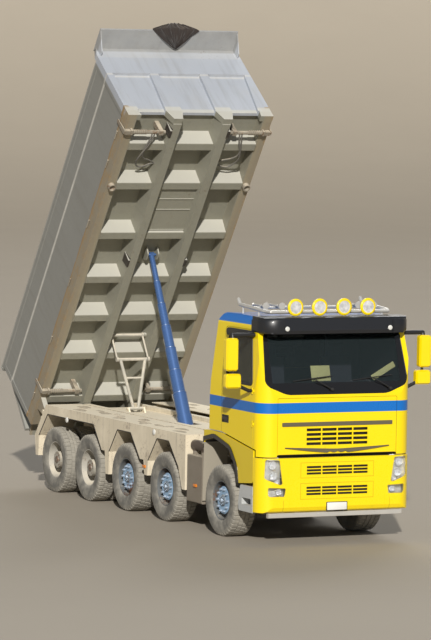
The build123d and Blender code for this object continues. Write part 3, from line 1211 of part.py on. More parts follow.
def make_interior():
    """Two seats, and the dash with the steering wheel on its column."""
    inner_x = CAB_FRONT_X - CAB_WALL - GRILLE_BACK - FIT_GAP
    dash = prism_y([(inner_x, 2140), (1000, 2200, 60), (930, 2060, 40), (960, 1850, 40), (inner_x, 1800)], -1005, 1005)
    hub = (820, 560, 2260)
    wheel = Plane(origin=hub, z_dir=(-0.45, 0, 0.9)) * Torus(225, 16)
    wheel += rod(hub, (1010, 560, 2080), 30)
    wheel += rod((hub[0], hub[1] - 222, hub[2]), (hub[0], hub[1] + 222, hub[2]), 13)
    nodes["cab_interior"] = [seat(-560), seat(560), dash + wheel]


# Opening of the cab fender over the first wheel, as x, z and corner radius, from its front foot
FENDER_ARCH = ((590, 850, 60), (540, 1080, 200), (330, 1320, 260), (-200, 1445, 300), (-560, 1370, 60))
FENDER_LINER = 14
FENDER_LIP = 60


def make_fenders():
    """Yellow panel below the door, the liner over the first wheel and the flap behind it."""
    top = [(-560, 1530), (-400, 1545, 60), (40, 1535, 60), (1120, 1372)]
    outline = [(1120, 900, 60)] + list(FENDER_ARCH) + top
    skin = prism_y(outline, CAB_HALF_W - 24, CAB_HALF_W)
    opening = list(FENDER_ARCH) + [(-560, 700), (590, 700)]
    band = prism_y(inset_rows(opening, -FENDER_LINER), CAB_HALF_W - 430, CAB_HALF_W - 2)
    band += prism_y(inset_rows(opening, -FENDER_LIP), CAB_HALF_W - 2, CAB_HALF_W + 14)
    band -= prism_y(inset_rows(opening, 0), 700, 1400)
    skin += band & block(-560, 800, 700, 1400, 852, 1800)
    flap = [(-560, 1400), (-560, 1366), (-596, 460), (-606, 460), (-574, 1400)]
    skin += prism_y(flap, CAB_HALF_W - 400, CAB_HALF_W - 10)
    seat_x = (100, 1000)
    tops = [(x, cab_bottom(x) - FIT_GAP) for x in seat_x]
    skin += prism_y(tops + [(x, z - 60) for x, z in reversed(tops)], 1080, CAB_HALF_W - CAB_WALL - DOOR_GAP)
    skin += prism_y([(x, z - 30) for x, z in tops] + [(x, z - 60) for x, z in reversed(tops)], 1080, CAB_HALF_W - 20)
    nodes["cab_fenders"] = both(skin)


def make_side_equipment():
    """Boxes behind the first wheels, the air tank above each, and the cab's steps."""
    pieces = []
    for side in (-1, 1):
        y0, y1 = sorted((side * STEP_IN_Y, side * CAB_HALF_W))
        step = prism_y([(1110, 460), (660, 460, 40), (640, 570, 60), (705, 840, 30), (1110, 840)], y0, y1)
        foot0, foot1 = sorted((side * (CAB_HALF_W - 190), side * (CAB_HALF_W + 1)))
        step -= prism_y([(760, 560, 20), (1060, 560, 20), (1060, 660, 20), (760, 660, 20)], foot0, foot1)
        pieces.append(step)
        y0, y1 = sorted((side * 760, side * 1230))
        box = prism_x([(y0, 400, 20), (y1, 400, 20), (y1, 1110, 20), (y0, 1110, 20)], -1160, -640)
        y0, y1 = sorted((side * (RAIL_OUT_Y + FIT_GAP), side * 765))
        box += block(-1120, -680, y0, y1, 760, 960)
        tank_y = side * (CAB_HALF_W - 140)
        box += rod((-1150, tank_y, AIR_TANK_Z), (-720, tank_y, AIR_TANK_Z), AIR_TANK_R)
        for x in (-1080, -790):
            box += block(x - 18, x + 18, tank_y - 60, tank_y + 60, 1105, AIR_TANK_Z)
        pieces.append(box)
    nodes["side_equipment"] = pieces


def make_powertrain():
    engine = block(-350, 780, -300, 300, 640, 1290)
    box = prism_y([(-350, 700), (-350, 1100), (-1050, 900), (-1050, 720)], -190, 190)
    radiator = block(860, 930, -340, 340, 745, 1340)
    mount_y = RAIL_OUT_Y - RAIL_WEB - FIT_GAP
    for x in (-200, 600):
        engine += block(x - 40, x + 40, -mount_y, mount_y, 850, 910)
    box += block(-900, -840, -mount_y, mount_y, 800, 840)
    radiator += block(870, 920, -mount_y, mount_y, 850, 900)
    nodes["running_gear"] += [engine + box, radiator]


def mirror_shell(inner, low, high):
    """One rounded mirror housing, with its glass side to the rear."""
    rows = [(inner, low, 40), (MIRROR_OUT_Y, low, 40), (MIRROR_OUT_Y, high, 40), (inner, high, 40)]
    shell = prism_x(rows, MIRROR_X - 50, MIRROR_X + 30)
    return shell + extrude(Plane.YZ.offset(MIRROR_X + 29) * outline_face(inset_rows(rows, 1)), 31, taper=32)


def make_mirrors():
    """Main and wide-angle mirror on their two black arms, and the wind deflector over the window."""
    r = MIRROR_ARM_R
    top = MIRROR_ARM_Z
    x = MIRROR_X - 20
    surface = CAB_HALF_W - CAB_TUMBLE * (top - r - CAB_SHOULDER_Z) / 900 + 1
    low_y = CAB_HALF_W + 50
    piece = rod((x, surface, top), (x, 1560, top), r)
    piece += Pos(x, 1560, top) * Sphere(r)
    piece += rod((x, 1560, top), (MIRROR_X, 1560, 2980), r)
    piece += rod((MIRROR_X, CAB_HALF_W + FIT_GAP, 2240), (MIRROR_X, low_y, 2240), r * 0.8)
    piece += Pos(MIRROR_X, low_y, 2240) * Sphere(r * 0.8)
    piece += rod((MIRROR_X, low_y, 2240), (MIRROR_X, 1500, 2330), r * 0.8)
    piece += rod((MIRROR_X, 1550, 2400), (MIRROR_X, 1550, 2550), 20)
    piece += mirror_shell(MIRROR_IN_Y, 2532, 3008)
    piece += mirror_shell(MIRROR_LOW_IN_Y, 2278, 2490)
    piece += deflector()
    for name, side in SIDES:
        nodes[f"mirror_{name}"] = [sided(piece, side)]


# Window deflector
def deflector():
    """Curved black strip over the left side window, on the door's frame."""
    rows = [(40, 2975), (70, 3050), (150, 3100), (960, 3100), (1035, 3075), (1075, 3000), (960, 3030), (150, 3030)]
    strip = prism_y(rows, 1100, 1400) & door_slab(-DEFLECTOR_OUT)
    return strip - door_slab(-1)


make_wheels()
make_axles()
make_chassis_frame()
make_subframe()
make_mudguards()
make_bed_floor()
make_bed_walls()
make_bed_fittings()
gate_hinge = make_tailgate()
hoist = make_hoist()
linkage = make_stabiliser()
make_cab()
make_bumper()
make_steel_bars()
make_black_trim()
make_interior()
make_fenders()
make_side_equipment()
make_powertrain()
make_mirrors()

everything = Compound(children=[piece for pieces in nodes.values() for piece in pieces])
span = everything.bounding_box()
home = Pos(-(span.min.X + span.max.X) / 2, 0, -span.min.Z)
os.makedirs("parts", exist_ok=True)
for name, pieces in nodes.items():
    export_step(Compound(children=[home * piece for piece in pieces]), f"parts/{name}.step")

print("placement", [home.position.X, home.position.Z])
print("size", [round(value, 3) for value in tuple(span.size)])
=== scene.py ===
"""Looks of a five-axle dump truck with its load bed raised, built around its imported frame."""
import json
import math

import bmesh
import bpy
import numpy as np
from mathutils import Matrix, Vector


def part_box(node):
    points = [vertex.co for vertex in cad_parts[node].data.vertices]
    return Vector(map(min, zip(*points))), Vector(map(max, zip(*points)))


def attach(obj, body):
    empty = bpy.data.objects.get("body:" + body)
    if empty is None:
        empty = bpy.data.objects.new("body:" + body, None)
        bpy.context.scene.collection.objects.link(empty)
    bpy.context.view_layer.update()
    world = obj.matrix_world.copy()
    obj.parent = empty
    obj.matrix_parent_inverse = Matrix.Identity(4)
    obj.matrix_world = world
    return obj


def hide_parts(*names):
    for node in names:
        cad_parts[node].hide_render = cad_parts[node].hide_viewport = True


bl_info = {
    "name": "Dump truck looks",
    "version": (1, 0, 0),
    "blender": (4, 5, 0),
    "location": "View3D > Sidebar > Truck",
    "description": "Finishes and detail pieces of a five-axle dump truck",
    "category": "Object",
}

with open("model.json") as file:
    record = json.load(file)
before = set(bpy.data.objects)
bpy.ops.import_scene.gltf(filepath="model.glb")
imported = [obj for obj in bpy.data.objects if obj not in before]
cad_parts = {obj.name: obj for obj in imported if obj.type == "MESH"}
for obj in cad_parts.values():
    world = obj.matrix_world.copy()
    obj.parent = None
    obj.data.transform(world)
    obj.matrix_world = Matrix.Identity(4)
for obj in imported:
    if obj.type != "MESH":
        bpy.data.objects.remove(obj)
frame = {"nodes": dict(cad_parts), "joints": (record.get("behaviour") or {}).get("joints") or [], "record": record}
NODES = frame["nodes"]
JOINTS = {joint["name"]: joint for joint in frame["joints"]}
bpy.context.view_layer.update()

# The frame's own places, in metres
FRONT_AXLE = Vector(JOINTS["spin_1_left"]["pos_m"])
BED_PIVOT = Vector(JOINTS["bed_tip"]["pos_m"])
DATUM_X = FRONT_AXLE.x
BED_TILT = math.radians(JOINTS["bed_tip"]["range_deg"][1])
PIVOT_U = 0.254
PIVOT_W = -0.416
SIDES = (("left", 1), ("right", -1))
STEERED = 3
AXLES = 5

# Camera, solved from the photograph's own lines
CAMERA_PLACE = (52.444 + DATUM_X, -26.356, 6.952)
CAMERA_RIGHT = (0.429347, 0.902991, 0.016405)
CAMERA_UP = (-0.065244, 0.012894, 0.997786)
CAMERA_BACK = (0.90078, -0.429466, 0.064451)
CAMERA_LENS = 222.66

X = (1, 0, 0)
Y = (0, 1, 0)
Z = (0, 0, 1)
THIN = 0.001  # Edge of a thin plate
SHARP_ANGLE = math.radians(38)


# Mesh helpers: every piece is arrays of points and faces
def grid_faces(rows, columns, close_rows=False, close_columns=False):
    """Quads between neighbouring points of a rows by columns grid, optionally closed on itself."""
    i = np.arange(rows if close_rows else rows - 1)[:, None]
    j = np.arange(columns if close_columns else columns - 1)[None, :]
    i2 = (i + 1) % rows
    j2 = (j + 1) % columns
    quads = np.stack([i * columns + j, i * columns + j2, i2 * columns + j2, i2 * columns + j], -1)
    return quads.reshape(-1, 4)


def join(parts):
    """One (points, faces) pair from several."""
    points, faces, count = [], [], 0
    for part_points, part_faces in parts:
        points.append(np.asarray(part_points, float).reshape(-1, 3))
        rows = part_faces.tolist() if isinstance(part_faces, np.ndarray) else part_faces
        faces += [[index + count for index in face] for face in rows]
        count += len(points[-1])
    return np.concatenate(points), faces


def put(name, shape, body, slot, finish=None):
    """Makes a piece from points and faces, with its normals outwards, and lets it ride on a body."""
    points, faces = shape
    mesh = bpy.data.meshes.new(name)
    mesh.from_pydata(np.asarray(points, float).tolist(), [], [list(map(int, face)) for face in faces])
    mesh.validate()
    piece = bpy.data.objects.new(name, mesh)
    bpy.context.scene.collection.objects.link(piece)
    work = bmesh.new()
    work.from_mesh(mesh)
    bmesh.ops.remove_doubles(work, verts=work.verts, dist=0.00002)
    bmesh.ops.recalc_face_normals(work, faces=work.faces)
    work.to_mesh(mesh)
    work.free()
    mesh.shade_smooth()
    mesh.set_sharp_from_angle(angle=SHARP_ANGLE)
    mesh.materials.append(FINISHES[finish or slot])
    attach(piece, body)
    return piece


def node_points(name):
    """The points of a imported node."""
    vertices = NODES[name].data.vertices
    points = np.empty(len(vertices) * 3)
    vertices.foreach_get("co", points)
    return points.reshape(-1, 3)


def lathe(profile, centre, axis, steps):
    """A profile of (distance along the axis, radius) spun once round it.

    Point = centre + along * axis + radius * (cos a * first + sin a * second)."""
    profile = np.asarray(profile, float)
    axis = Vector(axis).normalized()
    first = axis.orthogonal().normalized()
    second = axis.cross(first)
    angle = np.linspace(0, 2 * math.pi, steps, endpoint=False)
    ring = np.cos(angle)[:, None] * np.array(first) + np.sin(angle)[:, None] * np.array(second)
    points = np.array(centre) + profile[:, None, :1] * np.array(axis) + profile[:, None, 1:] * ring[None]
    return points.reshape(-1, 3), grid_faces(len(profile), steps, close_columns=True)


def tube(path, radius, sides=10):
    """A round tube carried along a path, with its ends closed to a point.

    At each path point the ring lies square to the mean of the two runs that meet there."""
    path = np.asarray(path, float)
    runs = np.gradient(path, axis=0)
    runs /= np.linalg.norm(runs, axis=1)[:, None]
    side = np.cross(runs, (0.13, 0.21, 0.97))
    side /= np.linalg.norm(side, axis=1)[:, None]
    other = np.cross(runs, side)
    angle = np.linspace(0, 2 * math.pi, sides, endpoint=False)
    radii = np.broadcast_to(radius, (len(path),))
    ring = side[:, None] * np.cos(angle)[None, :, None] + other[:, None] * np.sin(angle)[None, :, None]
    body = path[:, None] + ring * radii[:, None, None]
    ends = np.repeat(path[[0, -1]][:, None], sides, 1)
    points = np.concatenate([ends[:1], body, ends[1:]])
    return points.reshape(-1, 3), grid_faces(len(points), sides, close_columns=True)


def spline_route(points, steps=8):
    """Points read along the NURBS spline that has the given points as its control points."""
    curve = bpy.data.curves.new("route", "CURVE")
    curve.dimensions = "3D"
    spline = curve.splines.new("NURBS")
    spline.points.add(len(points) - 1)
    for control, place in zip(spline.points, points):
        control.co = (*place, 1.0)
    spline.order_u = 3
    spline.use_endpoint_u = True
    spline.resolution_u = steps
    holder = bpy.data.objects.new("route", curve)
    mesh = bpy.data.meshes.new_from_object(holder)
    route = np.array([vertex.co[:] for vertex in mesh.vertices])
    bpy.data.meshes.remove(mesh)
    bpy.data.objects.remove(holder)
    bpy.data.curves.remove(curve)
    return route


def rounded_outline(width, height, radius, steps=5):
    """A rectangle with quarter-circle corners, as (a, b) points round its middle."""
    angle = np.linspace(0, math.pi / 2, steps)
    corner = np.stack([np.cos(angle), np.sin(angle)], -1) * radius
    half = np.array([width / 2 - radius, height / 2 - radius])
    turns = (((1, 1), corner), ((-1, 1), corner[::-1] * (-1, 1)),
             ((-1, -1), -corner), ((1, -1), corner[::-1] * (1, -1)))
    return np.concatenate([half * np.array(sign) + points for sign, points in turns])


def slab(centre, size, radius, across, up, edge=0.004):
    """A thin plate with rounded corners and edges.

    Rings of a rounded rectangle are stacked through its thickness, the outer two drawn in."""
    width, height, thick = size
    out = Vector(across).cross(Vector(up)).normalized()
    basis = np.array([Vector(across).normalized(), Vector(up).normalized(), out])
    levels = ((-thick / 2, edge), (-thick / 2 + edge * 0.4, edge * 0.3), (-thick / 2 + edge, 0),
              (thick / 2 - edge, 0), (thick / 2 - edge * 0.4, edge * 0.3), (thick / 2, edge))
    rings = []
    for level, inset in levels:
        ring = rounded_outline(width - 2 * inset, height - 2 * inset, max(radius - inset, 0.0004))
        rings.append(np.column_stack([ring, np.full(len(ring), level)]))
    count = len(rings[0])
    points = np.concatenate(rings) @ basis + np.array(centre)
    faces = grid_faces(len(rings), count, close_columns=True).tolist()
    faces += [list(range(count)), list(range(count * 5, count * 6))]
    return points, faces


def bed_points(rows):
    """Points of the raised bed, from rows of its length, width and height."""
    u, y, w = np.asarray(rows, float).reshape(-1, 3).T
    du = u - PIVOT_U
    dw = w - PIVOT_W
    cosine, sine = math.cos(BED_TILT), math.sin(BED_TILT)
    return np.stack([BED_PIVOT.x + du * cosine - dw * sine, y, BED_PIVOT.z + du * sine + dw * cosine], -1)


def at(x, y, z):
    """A place on the truck, measured from the ground under the first axle."""
    return Vector((x + DATUM_X, y, z))


# Shader values
FAR = 9.0  # A distance beyond every edge of the truck
SHARP = 0.001
CRISP = 0.0015
FINE = 0.002


class Signal:
    """A value in a shader tree. Each sum, product or other step adds one node to the tree."""

    def __init__(self, socket):
        self.socket = socket
        self.tree = socket.id_data

    def step(self, operation, other=0.0):
        return wire(self.tree, "Math", {0: self, 1: other}, operation=operation)

    def __add__(self, other):
        return self.step("ADD", other)

    __radd__ = __add__

    def __sub__(self, other):
        return self.step("SUBTRACT", other)

    def __mul__(self, other):
        return self.step("MULTIPLY", other)

    def __pow__(self, other):
        return self.step("POWER", other)

    def __or__(self, other):
        """The larger of two values."""
        return self.step("MAXIMUM", other)

    def __abs__(self):
        return self.step("ABSOLUTE")

    def clamp(self):
        """Keeps the last step between zero and one."""
        self.socket.node.use_clamp = True
        return self

    def beyond(self, edge, soft):
        """Zero below an edge and one above it."""
        return wire(self.tree, "MapRange", {0: self, 1: edge - soft, 2: edge + soft}, clamp=True)

    def band(self, low, high, soft=0.004):
        """One from low to high and zero outside, with soft edges."""
        return (self.beyond(low, soft) - self.beyond(high, soft)).clamp()

    def noise(self, scale, detail=5.0, rough=0.55):
        inputs = {"Vector": self, "Scale": scale, "Detail": detail, "Roughness": rough}
        return wire(self.tree, "TexNoise", inputs)


def fill(node, inputs):
    """Gives inputs of a node a value of the tree, a colour or a number."""
    for key, value in inputs.items():
        socket = node.inputs[key]
        if isinstance(value, Signal):
            value.tree.links.new(value.socket, socket)
        elif socket.type == "RGBA":
            socket.default_value = (*value, 1.0)
        else:
            socket.default_value = value


def wire(tree, kind, inputs, out=0, **settings):
    """Adds a shader node with its settings and inputs, and returns one of its outputs."""
    node = tree.nodes.new("ShaderNode" + kind)
    for name, value in settings.items():
        setattr(node, name, value)
    fill(node, inputs)
    return Signal(node.outputs[out])


def split(vector):
    """The three parts of a vector."""
    node = vector.tree.nodes.new("ShaderNodeSeparateXYZ")
    fill(node, {0: vector})
    return [Signal(socket) for socket in node.outputs]


def mix(factor, first, second):
    """Mixes two colours by a factor."""
    return wire(factor.tree, "Mix", {0: factor, 6: first, 7: second}, 2, data_type="RGBA")


def new_group(name, **numbers):
    """An empty shader group with a vector, a normal or numbers in, and a mask out."""
    tree = bpy.data.node_groups.new(name, "ShaderNodeTree")
    tree.interface.new_socket("Vector", in_out="INPUT", socket_type="NodeSocketVector")
    for label, default in numbers.items():
        kind = "NodeSocketVector" if default is None else "NodeSocketFloat"
        socket = tree.interface.new_socket(label.title(), in_out="INPUT", socket_type=kind)
        if default is not None:
            socket.default_value = default
    tree.interface.new_socket("Mask", in_out="OUTPUT", socket_type="NodeSocketFloat")
    given = tree.nodes.new("NodeGroupInput").outputs
    out = tree.nodes.new("NodeGroupOutput")
    return out, [Signal(given[index]) for index in range(len(numbers) + 1)]


def dust_group():
    """Dust on upward faces and in patches: Mask grows with Amount, and with Up on level faces."""
    out, (vector, normal, amount, up, scale) = new_group(
        "Settled dust", normal=None, amount=0.3, up=0.4, scale=2.0)
    level = (split(normal)[2] | 0.0) * up + amount
    spread = (vector.noise(scale, 7.0, 0.62) * 0.9 + level * 1.1 - 1.0) * 3.0
    fill(out, {"Mask": (spread + level * 0.4).clamp()})
    return out.id_data


def wear_group():
    """Chips and scrapes: fine noise shown only where broad noise passes a level set by Amount."""
    out, (vector, amount, scale) = new_group("Chips and scrapes", amount=0.3, scale=30.0)
    fine = vector.noise(scale, 6.0, 0.7)
    broad = vector.noise(scale * 0.08, 3.0)
    level = fine * 0.6 + broad * 0.5 + amount * 0.35
    fill(out, {"Mask": ((level - 0.72) * 9.0).clamp()})
    return out.id_data


def streak_group():
    """Runs of dirt: noise squeezed across a surface and drawn out along Z of the given vector."""
    out, (vector, amount, width) = new_group("Dirt runs", amount=0.3, width=12.0)
    x, y, z = split(vector)
    drawn = wire(out.id_data, "CombineXYZ", {0: x * width, 1: y * width, 2: z * 0.9})
    runs = drawn.noise(1.0, 6.0, 0.6)
    fill(out, {"Mask": ((runs - 0.62 + amount * 0.3) * 4.0).clamp()})
    return out.id_data


GROUPS = {"dust": dust_group(), "wear": wear_group(), "streak": streak_group()}


def use(group, vector, **inputs):
    """The mask of one of the shader groups."""
    node = vector.tree.nodes.new("ShaderNodeGroup")
    node.node_tree = GROUPS[group]
    fill(node, {"Vector": vector, **{name.title(): value for name, value in inputs.items()}})
    return Signal(node.outputs[0])


class Finish:
    """A material under construction: its tree, its coordinates and its shader."""

    def __init__(self, name):
        self.material = bpy.data.materials.new(name)
        self.material.use_nodes = True
        self.tree = self.material.node_tree
        self.tree.nodes.clear()
        place = self.tree.nodes.new("ShaderNodeTexCoord").outputs
        self.vector = Signal(place["Object"])
        self.normal = Signal(place["Normal"])
        self.x, self.y, self.z = split(self.vector)
        self.shader = self.tree.nodes.new("ShaderNodeBsdfPrincipled")
        out = self.tree.nodes.new("ShaderNodeOutputMaterial")
        self.tree.links.new(self.shader.outputs[0], out.inputs[0])

    def set(self, **values):
        """Sets inputs of the shader, each by its name in lower case."""
        for name, value in values.items():
            label = name.replace("_", " ").title().replace("Ior", "IOR")
            fill(self.shader, {label: value})

    def bumps(self, height, strength, distance=0.004):
        inputs = {"Height": height, "Strength": strength, "Distance": distance}
        fill(self.shader, {"Normal": wire(self.tree, "Bump", inputs)})

    def variation(self, first, second, scale):
        """Two colours in slow patches."""
        return mix(self.vector.noise(scale), first, second)

    def waves(self, direction, scale, distortion=0.0):
        inputs = {"Vector": self.vector, "Scale": scale, "Distortion": distortion}
        return wire(self.tree, "TexWave", inputs, 1, bands_direction=direction)

    def dust(self, amount, up, scale):
        return use("dust", self.vector, normal=self.normal, amount=amount, up=up, scale=scale)


DUST = (0.50, 0.44, 0.34)
PALE_DUST = (0.60, 0.55, 0.45)
RUST = (0.16, 0.07, 0.03)


def painted(name, base, rough, dust, up, wear, chip=RUST, coat=0.0, metallic=0.0,
            dust_colour=DUST, scale=2.0, bump=0.15, streaks=0.0, streak_colour=RUST):
    """Paint with dust on level faces, chips, runs and a faint uneven surface.

    Its base is two colours that change slowly from one to the other, or a function of the finish."""
    finish = Finish(name)
    surface = base(finish) if callable(base) else finish.variation(*base, scale)
    if streaks:
        runs = use("streak", finish.vector, amount=streaks)
        surface = mix(runs * 0.7, surface, streak_colour)
    surface = mix(use("wear", finish.vector, amount=wear), surface, chip)
    dusty = finish.dust(dust, up, scale)
    surface = mix(dusty, surface, dust_colour)
    grain = finish.vector.noise(90.0, 4.0)
    roughness = ((dusty * 0.4 + rough).clamp() + grain * 0.08).clamp()
    finish.set(base_color=surface, roughness=roughness, metallic=metallic,
               coat_weight=coat, coat_roughness=0.05)
    finish.bumps(grain + dusty * 1.5, bump)
    return finish.material


YELLOW = (0.90, 0.69, 0.003)
YELLOW_DEEP = (0.86, 0.63, 0.002)
YELLOW_SCALE = 1.2
BLUE = (0.002, 0.14, 0.50)
BLACK = (0.012, 0.012, 0.013)
CAB_BLUE_BAND = (1.922, 2.075)
CAB_BLUE_ROOF = 3.185
CAB_INSIDE_TONE = (0.030, 0.032, 0.036)
CABIN_MIDDLE = (DATUM_X + 0.6, 0.0, 2.2)
HANDLE_X = (DATUM_X + 0.05, DATUM_X + 0.28)
HANDLE_Z = (1.70, 1.815)
# Grille openings of the panel and the bumper as low, high and the x behind which painted shade makes them near
# black
GRILLES = ((1.452, 1.698, 1.338), (0.725, 0.865, 1.366), (1.025, 1.165, 1.366))
GRILLE_HALF = 0.54
# The gap between panel and bumper, painted near black as shade, and half its width
PANEL_GAP = (1.283, 1.325)
PANEL_GAP_HALF = 0.955
# Seam lines of the bumper: the two recesses round its grilles, their half width, the inner edge and
# the top of its corner pieces, and the width of a line
BUMPER_RECESSES = ((0.665, 0.905), (0.975, 1.205))
RECESS_HALF = 0.600
CORNER_EDGE = 0.865
CORNER_TOP = 0.66
SEAM = 0.009
# Where parts of one node change colour, as heights, X and distances from the middle
CAB_STEP_BACK = DATUM_X - 0.55
TANK_LOW = 1.16
TRIM_BARS = (1.34, 1.81)
TRIM_BACK = DATUM_X + 1.30
FENDER_SKIN = (1.2195, 1.2455)
FLAP_FRONT = DATUM_X - 0.555
SCREEN_CLEAR = (2.36, 3.045)
SCREEN_HALF = 1.045
REAR_WINDOW = DATUM_X + 0.2
MIRROR_INNER = 1.434
MIRROR_HOUSINGS = ((2.530, 3.010), (2.276, 2.492))


def cab_bands(finish):
    """Yellow with the blue belt line and blue roof sides; faces turned into the cab are near black."""
    belt = finish.z.band(*CAB_BLUE_BAND, CRISP)
    roof = finish.z.band(CAB_BLUE_ROOF, FAR, CRISP)
    surface = mix(belt | roof, finish.variation(YELLOW, YELLOW_DEEP, YELLOW_SCALE), BLUE)
    # Faces turned towards the middle of the cab are painted near black
    out = wire(finish.tree, "VectorMath", {0: finish.vector, 1: CABIN_MIDDLE}, operation="SUBTRACT")
    facing = wire(finish.tree, "VectorMath", {0: out, 1: finish.normal}, 1, operation="DOT_PRODUCT")
    inside = wire(finish.tree, "MapRange", {0: facing, 1: -0.02, 2: -0.01, 3: 1.0, 4: 0.0}, clamp=True)
    surface = mix(inside, surface, CAB_INSIDE_TONE)
    handle = finish.z.band(*HANDLE_Z, SHARP) * finish.x.band(*HANDLE_X, SHARP)
    return mix(handle, surface, BLACK)


def side_bands(finish):
    """Pale grey step beside the cab, brown-grey boxes and a dark air tank behind it."""
    behind = finish.x.band(-FAR, CAB_STEP_BACK, SHARP)
    tank = behind * finish.z.band(TANK_LOW, FAR, SHARP)
    step = finish.variation((0.40, 0.42, 0.42), (0.52, 0.53, 0.52), 3.0)
    boxes = finish.variation((0.17, 0.145, 0.11), (0.25, 0.22, 0.18), 4.0)
    return mix(tank, mix(behind, step, boxes), (0.075, 0.055, 0.042))


def panel_bands(finish):
    """Yellow, with seam lines and the blue belt, and painted shade, near black, down inside the grilles and in the
    gap.
    """
    size = abs(finish.y)
    dark = 0.0
    for low, high, face in GRILLES:
        opening = finish.z.band(low, high, SHARP) * finish.x.band(-FAR, face + DATUM_X, SHARP)
        dark = opening | dark
    gap = finish.z.band(*PANEL_GAP) * size.band(-1.0, PANEL_GAP_HALF, 0.01)
    # Painted shade: near black inside the grille openings and in the gap between panel and bumper
    dark = size.band(-1.0, GRILLE_HALF, SHARP) * dark | gap
    belt = finish.z.band(*CAB_BLUE_BAND, CRISP)
    surface = mix(belt, finish.variation(YELLOW, YELLOW_DEEP, YELLOW_SCALE), BLUE)
    seams = 0.0
    for low, high in BUMPER_RECESSES:
        outer = size.band(-1.0, RECESS_HALF, FINE) * finish.z.band(low, high, FINE)
        inner = size.band(-1.0, RECESS_HALF - SEAM, FINE) * finish.z.band(low + SEAM, high - SEAM, FINE)
        seams = outer - inner + seams
    corner = size.band(CORNER_EDGE, CORNER_EDGE + SEAM, FINE) * finish.z.band(0.0, CORNER_TOP, FINE)
    surface = mix((seams | corner) * 0.55, surface, (0.30, 0.19, 0.0))
    return mix(dark, surface, (0.012, 0.010, 0.009))


def trim_bands(finish):
    """Black, with the two trim bars across the front panel in grey-brown."""
    bars = finish.z.band(*TRIM_BARS, SHARP) * finish.x.band(TRIM_BACK, FAR, SHARP)
    return mix(bars, (0.012, 0.013, 0.016), (0.115, 0.100, 0.062))


def fender_bands(finish):
    """Yellow skin between a black lip outside and a black liner inside, with a dusty flap behind."""
    skin = abs(finish.y).band(*FENDER_SKIN, 0.0008)
    flap = finish.x.band(-FAR, FLAP_FRONT, SHARP)
    yellow = finish.variation(YELLOW, YELLOW_DEEP, YELLOW_SCALE)
    return mix(flap, mix(skin, (0.014, 0.014, 0.015), yellow), (0.34, 0.31, 0.25))


def bed_frame(finish):
    """Object coordinates turned back into the bed's own length, width and height."""
    inputs = {"Vector": finish.vector, "Center": tuple(BED_PIVOT), "Angle": BED_TILT}
    turned = wire(finish.tree, "VectorRotate", inputs, rotation_type="Y_AXIS")
    shift = (PIVOT_U - BED_PIVOT.x, 0.0, PIVOT_W - BED_PIVOT.z)
    return wire(finish.tree, "VectorMath", {0: turned, 1: shift}, operation="ADD")


GUIDE_PLACES = (3.28, 5.87)
GUIDE_HALF = 0.095
WALL_FRONT = 6.03


def bed_paint():
    """Worn olive grey steel with a bluish front wall, a darker underside, dust and rust; painted shade darkens the
    outer faces of the side walls and the canopy, and a painted highlight lightens the upward faces under the bed.
    """
    finish = Finish("bed paint, worn, with painted shade and highlight")
    local = bed_frame(finish)
    u, y, w = split(local)
    size = abs(y)
    slow = local.noise(0.9, 6.0)
    patches = local.noise(5.0, 8.0, 0.7)
    below = w.band(-2.0, 0.02, 0.02)
    beside = size.band(1.16, FAR, 0.02)
    # Painted shade: the outer faces of the side walls are darkened
    outside = beside * u.band(-FAR, WALL_FRONT, 0.01)
    foot = w.band(-0.03, 0.05, 0.03) * beside
    rail = w.band(-0.30, 0.05, 0.02) * size.band(1.205, FAR, 0.012)
    rusty = (foot | rail * 0.62) + patches * 1.1
    edges = (w.band(0.84, 0.885, 0.012) | w.band(1.30, 1.6, 0.01) * 0.4) * patches
    guides = 0.0
    for place in GUIDE_PLACES:
        guides = u.band(place - GUIDE_HALF, place + GUIDE_HALF, FINE) + guides
    guides = guides * w.band(-FAR, -0.13, FINE) * size.band(0.479, 0.53, SHARP)
    dusty = use("dust", local, normal=finish.normal, amount=0.16, up=0.3, scale=1.4)
    # Painted highlight: faces under the bed that turn upwards in the raised pose are made pale, as if lit from
    # above
    level = ((split(finish.normal)[2] - 0.1) * 2.0).clamp() * below
    layers = (
        (below, mix(slow, (0.23, 0.225, 0.18), (0.29, 0.285, 0.235))),
        (u.band(WALL_FRONT, FAR, 0.01) * w.band(-0.08, FAR, 0.01),
         mix(slow, (0.40, 0.43, 0.48), (0.46, 0.49, 0.54))),
        # Painted shade: the canopy above the front wall is darkened
        (u.band(6.0, FAR, 0.01) * w.band(1.46, FAR, 0.02), (0.27, 0.28, 0.29)),
        # Painted shade on the outer faces of the side walls
        (outside * 0.55, (0.19, 0.19, 0.18)),
        (use("streak", local, amount=0.42, width=9.0) * 0.22, (0.17, 0.15, 0.12)),
        (((rusty - 1.12) * 3.4).clamp(), (0.30, 0.185, 0.075)),
        (size.band(1.10, FAR, 0.02) * below * 0.45, (0.36, 0.28, 0.17)),
        (guides, (0.045, 0.038, 0.032)),
        (edges, (0.62, 0.60, 0.55)),
        (use("wear", local, amount=0.10, scale=22.0) * 0.75, (0.15, 0.09, 0.06)),
        (dusty * 0.35, (0.46, 0.43, 0.36)),
        # The painted highlight on the upward faces under the bed
        (level * 0.8, (0.56, 0.55, 0.49)),
    )
    surface = mix(slow, (0.30, 0.30, 0.27), (0.37, 0.37, 0.34))
    for mask, tone in layers:
        surface = mix(mask, surface, tone)
    finish.set(base_color=surface, roughness=patches * 0.3 + 0.42, metallic=0.15)
    finish.bumps(local.noise(2.2, 3.0) + local.noise(60.0, 4.0) * 0.12, 0.25, 0.012)
    return finish.material


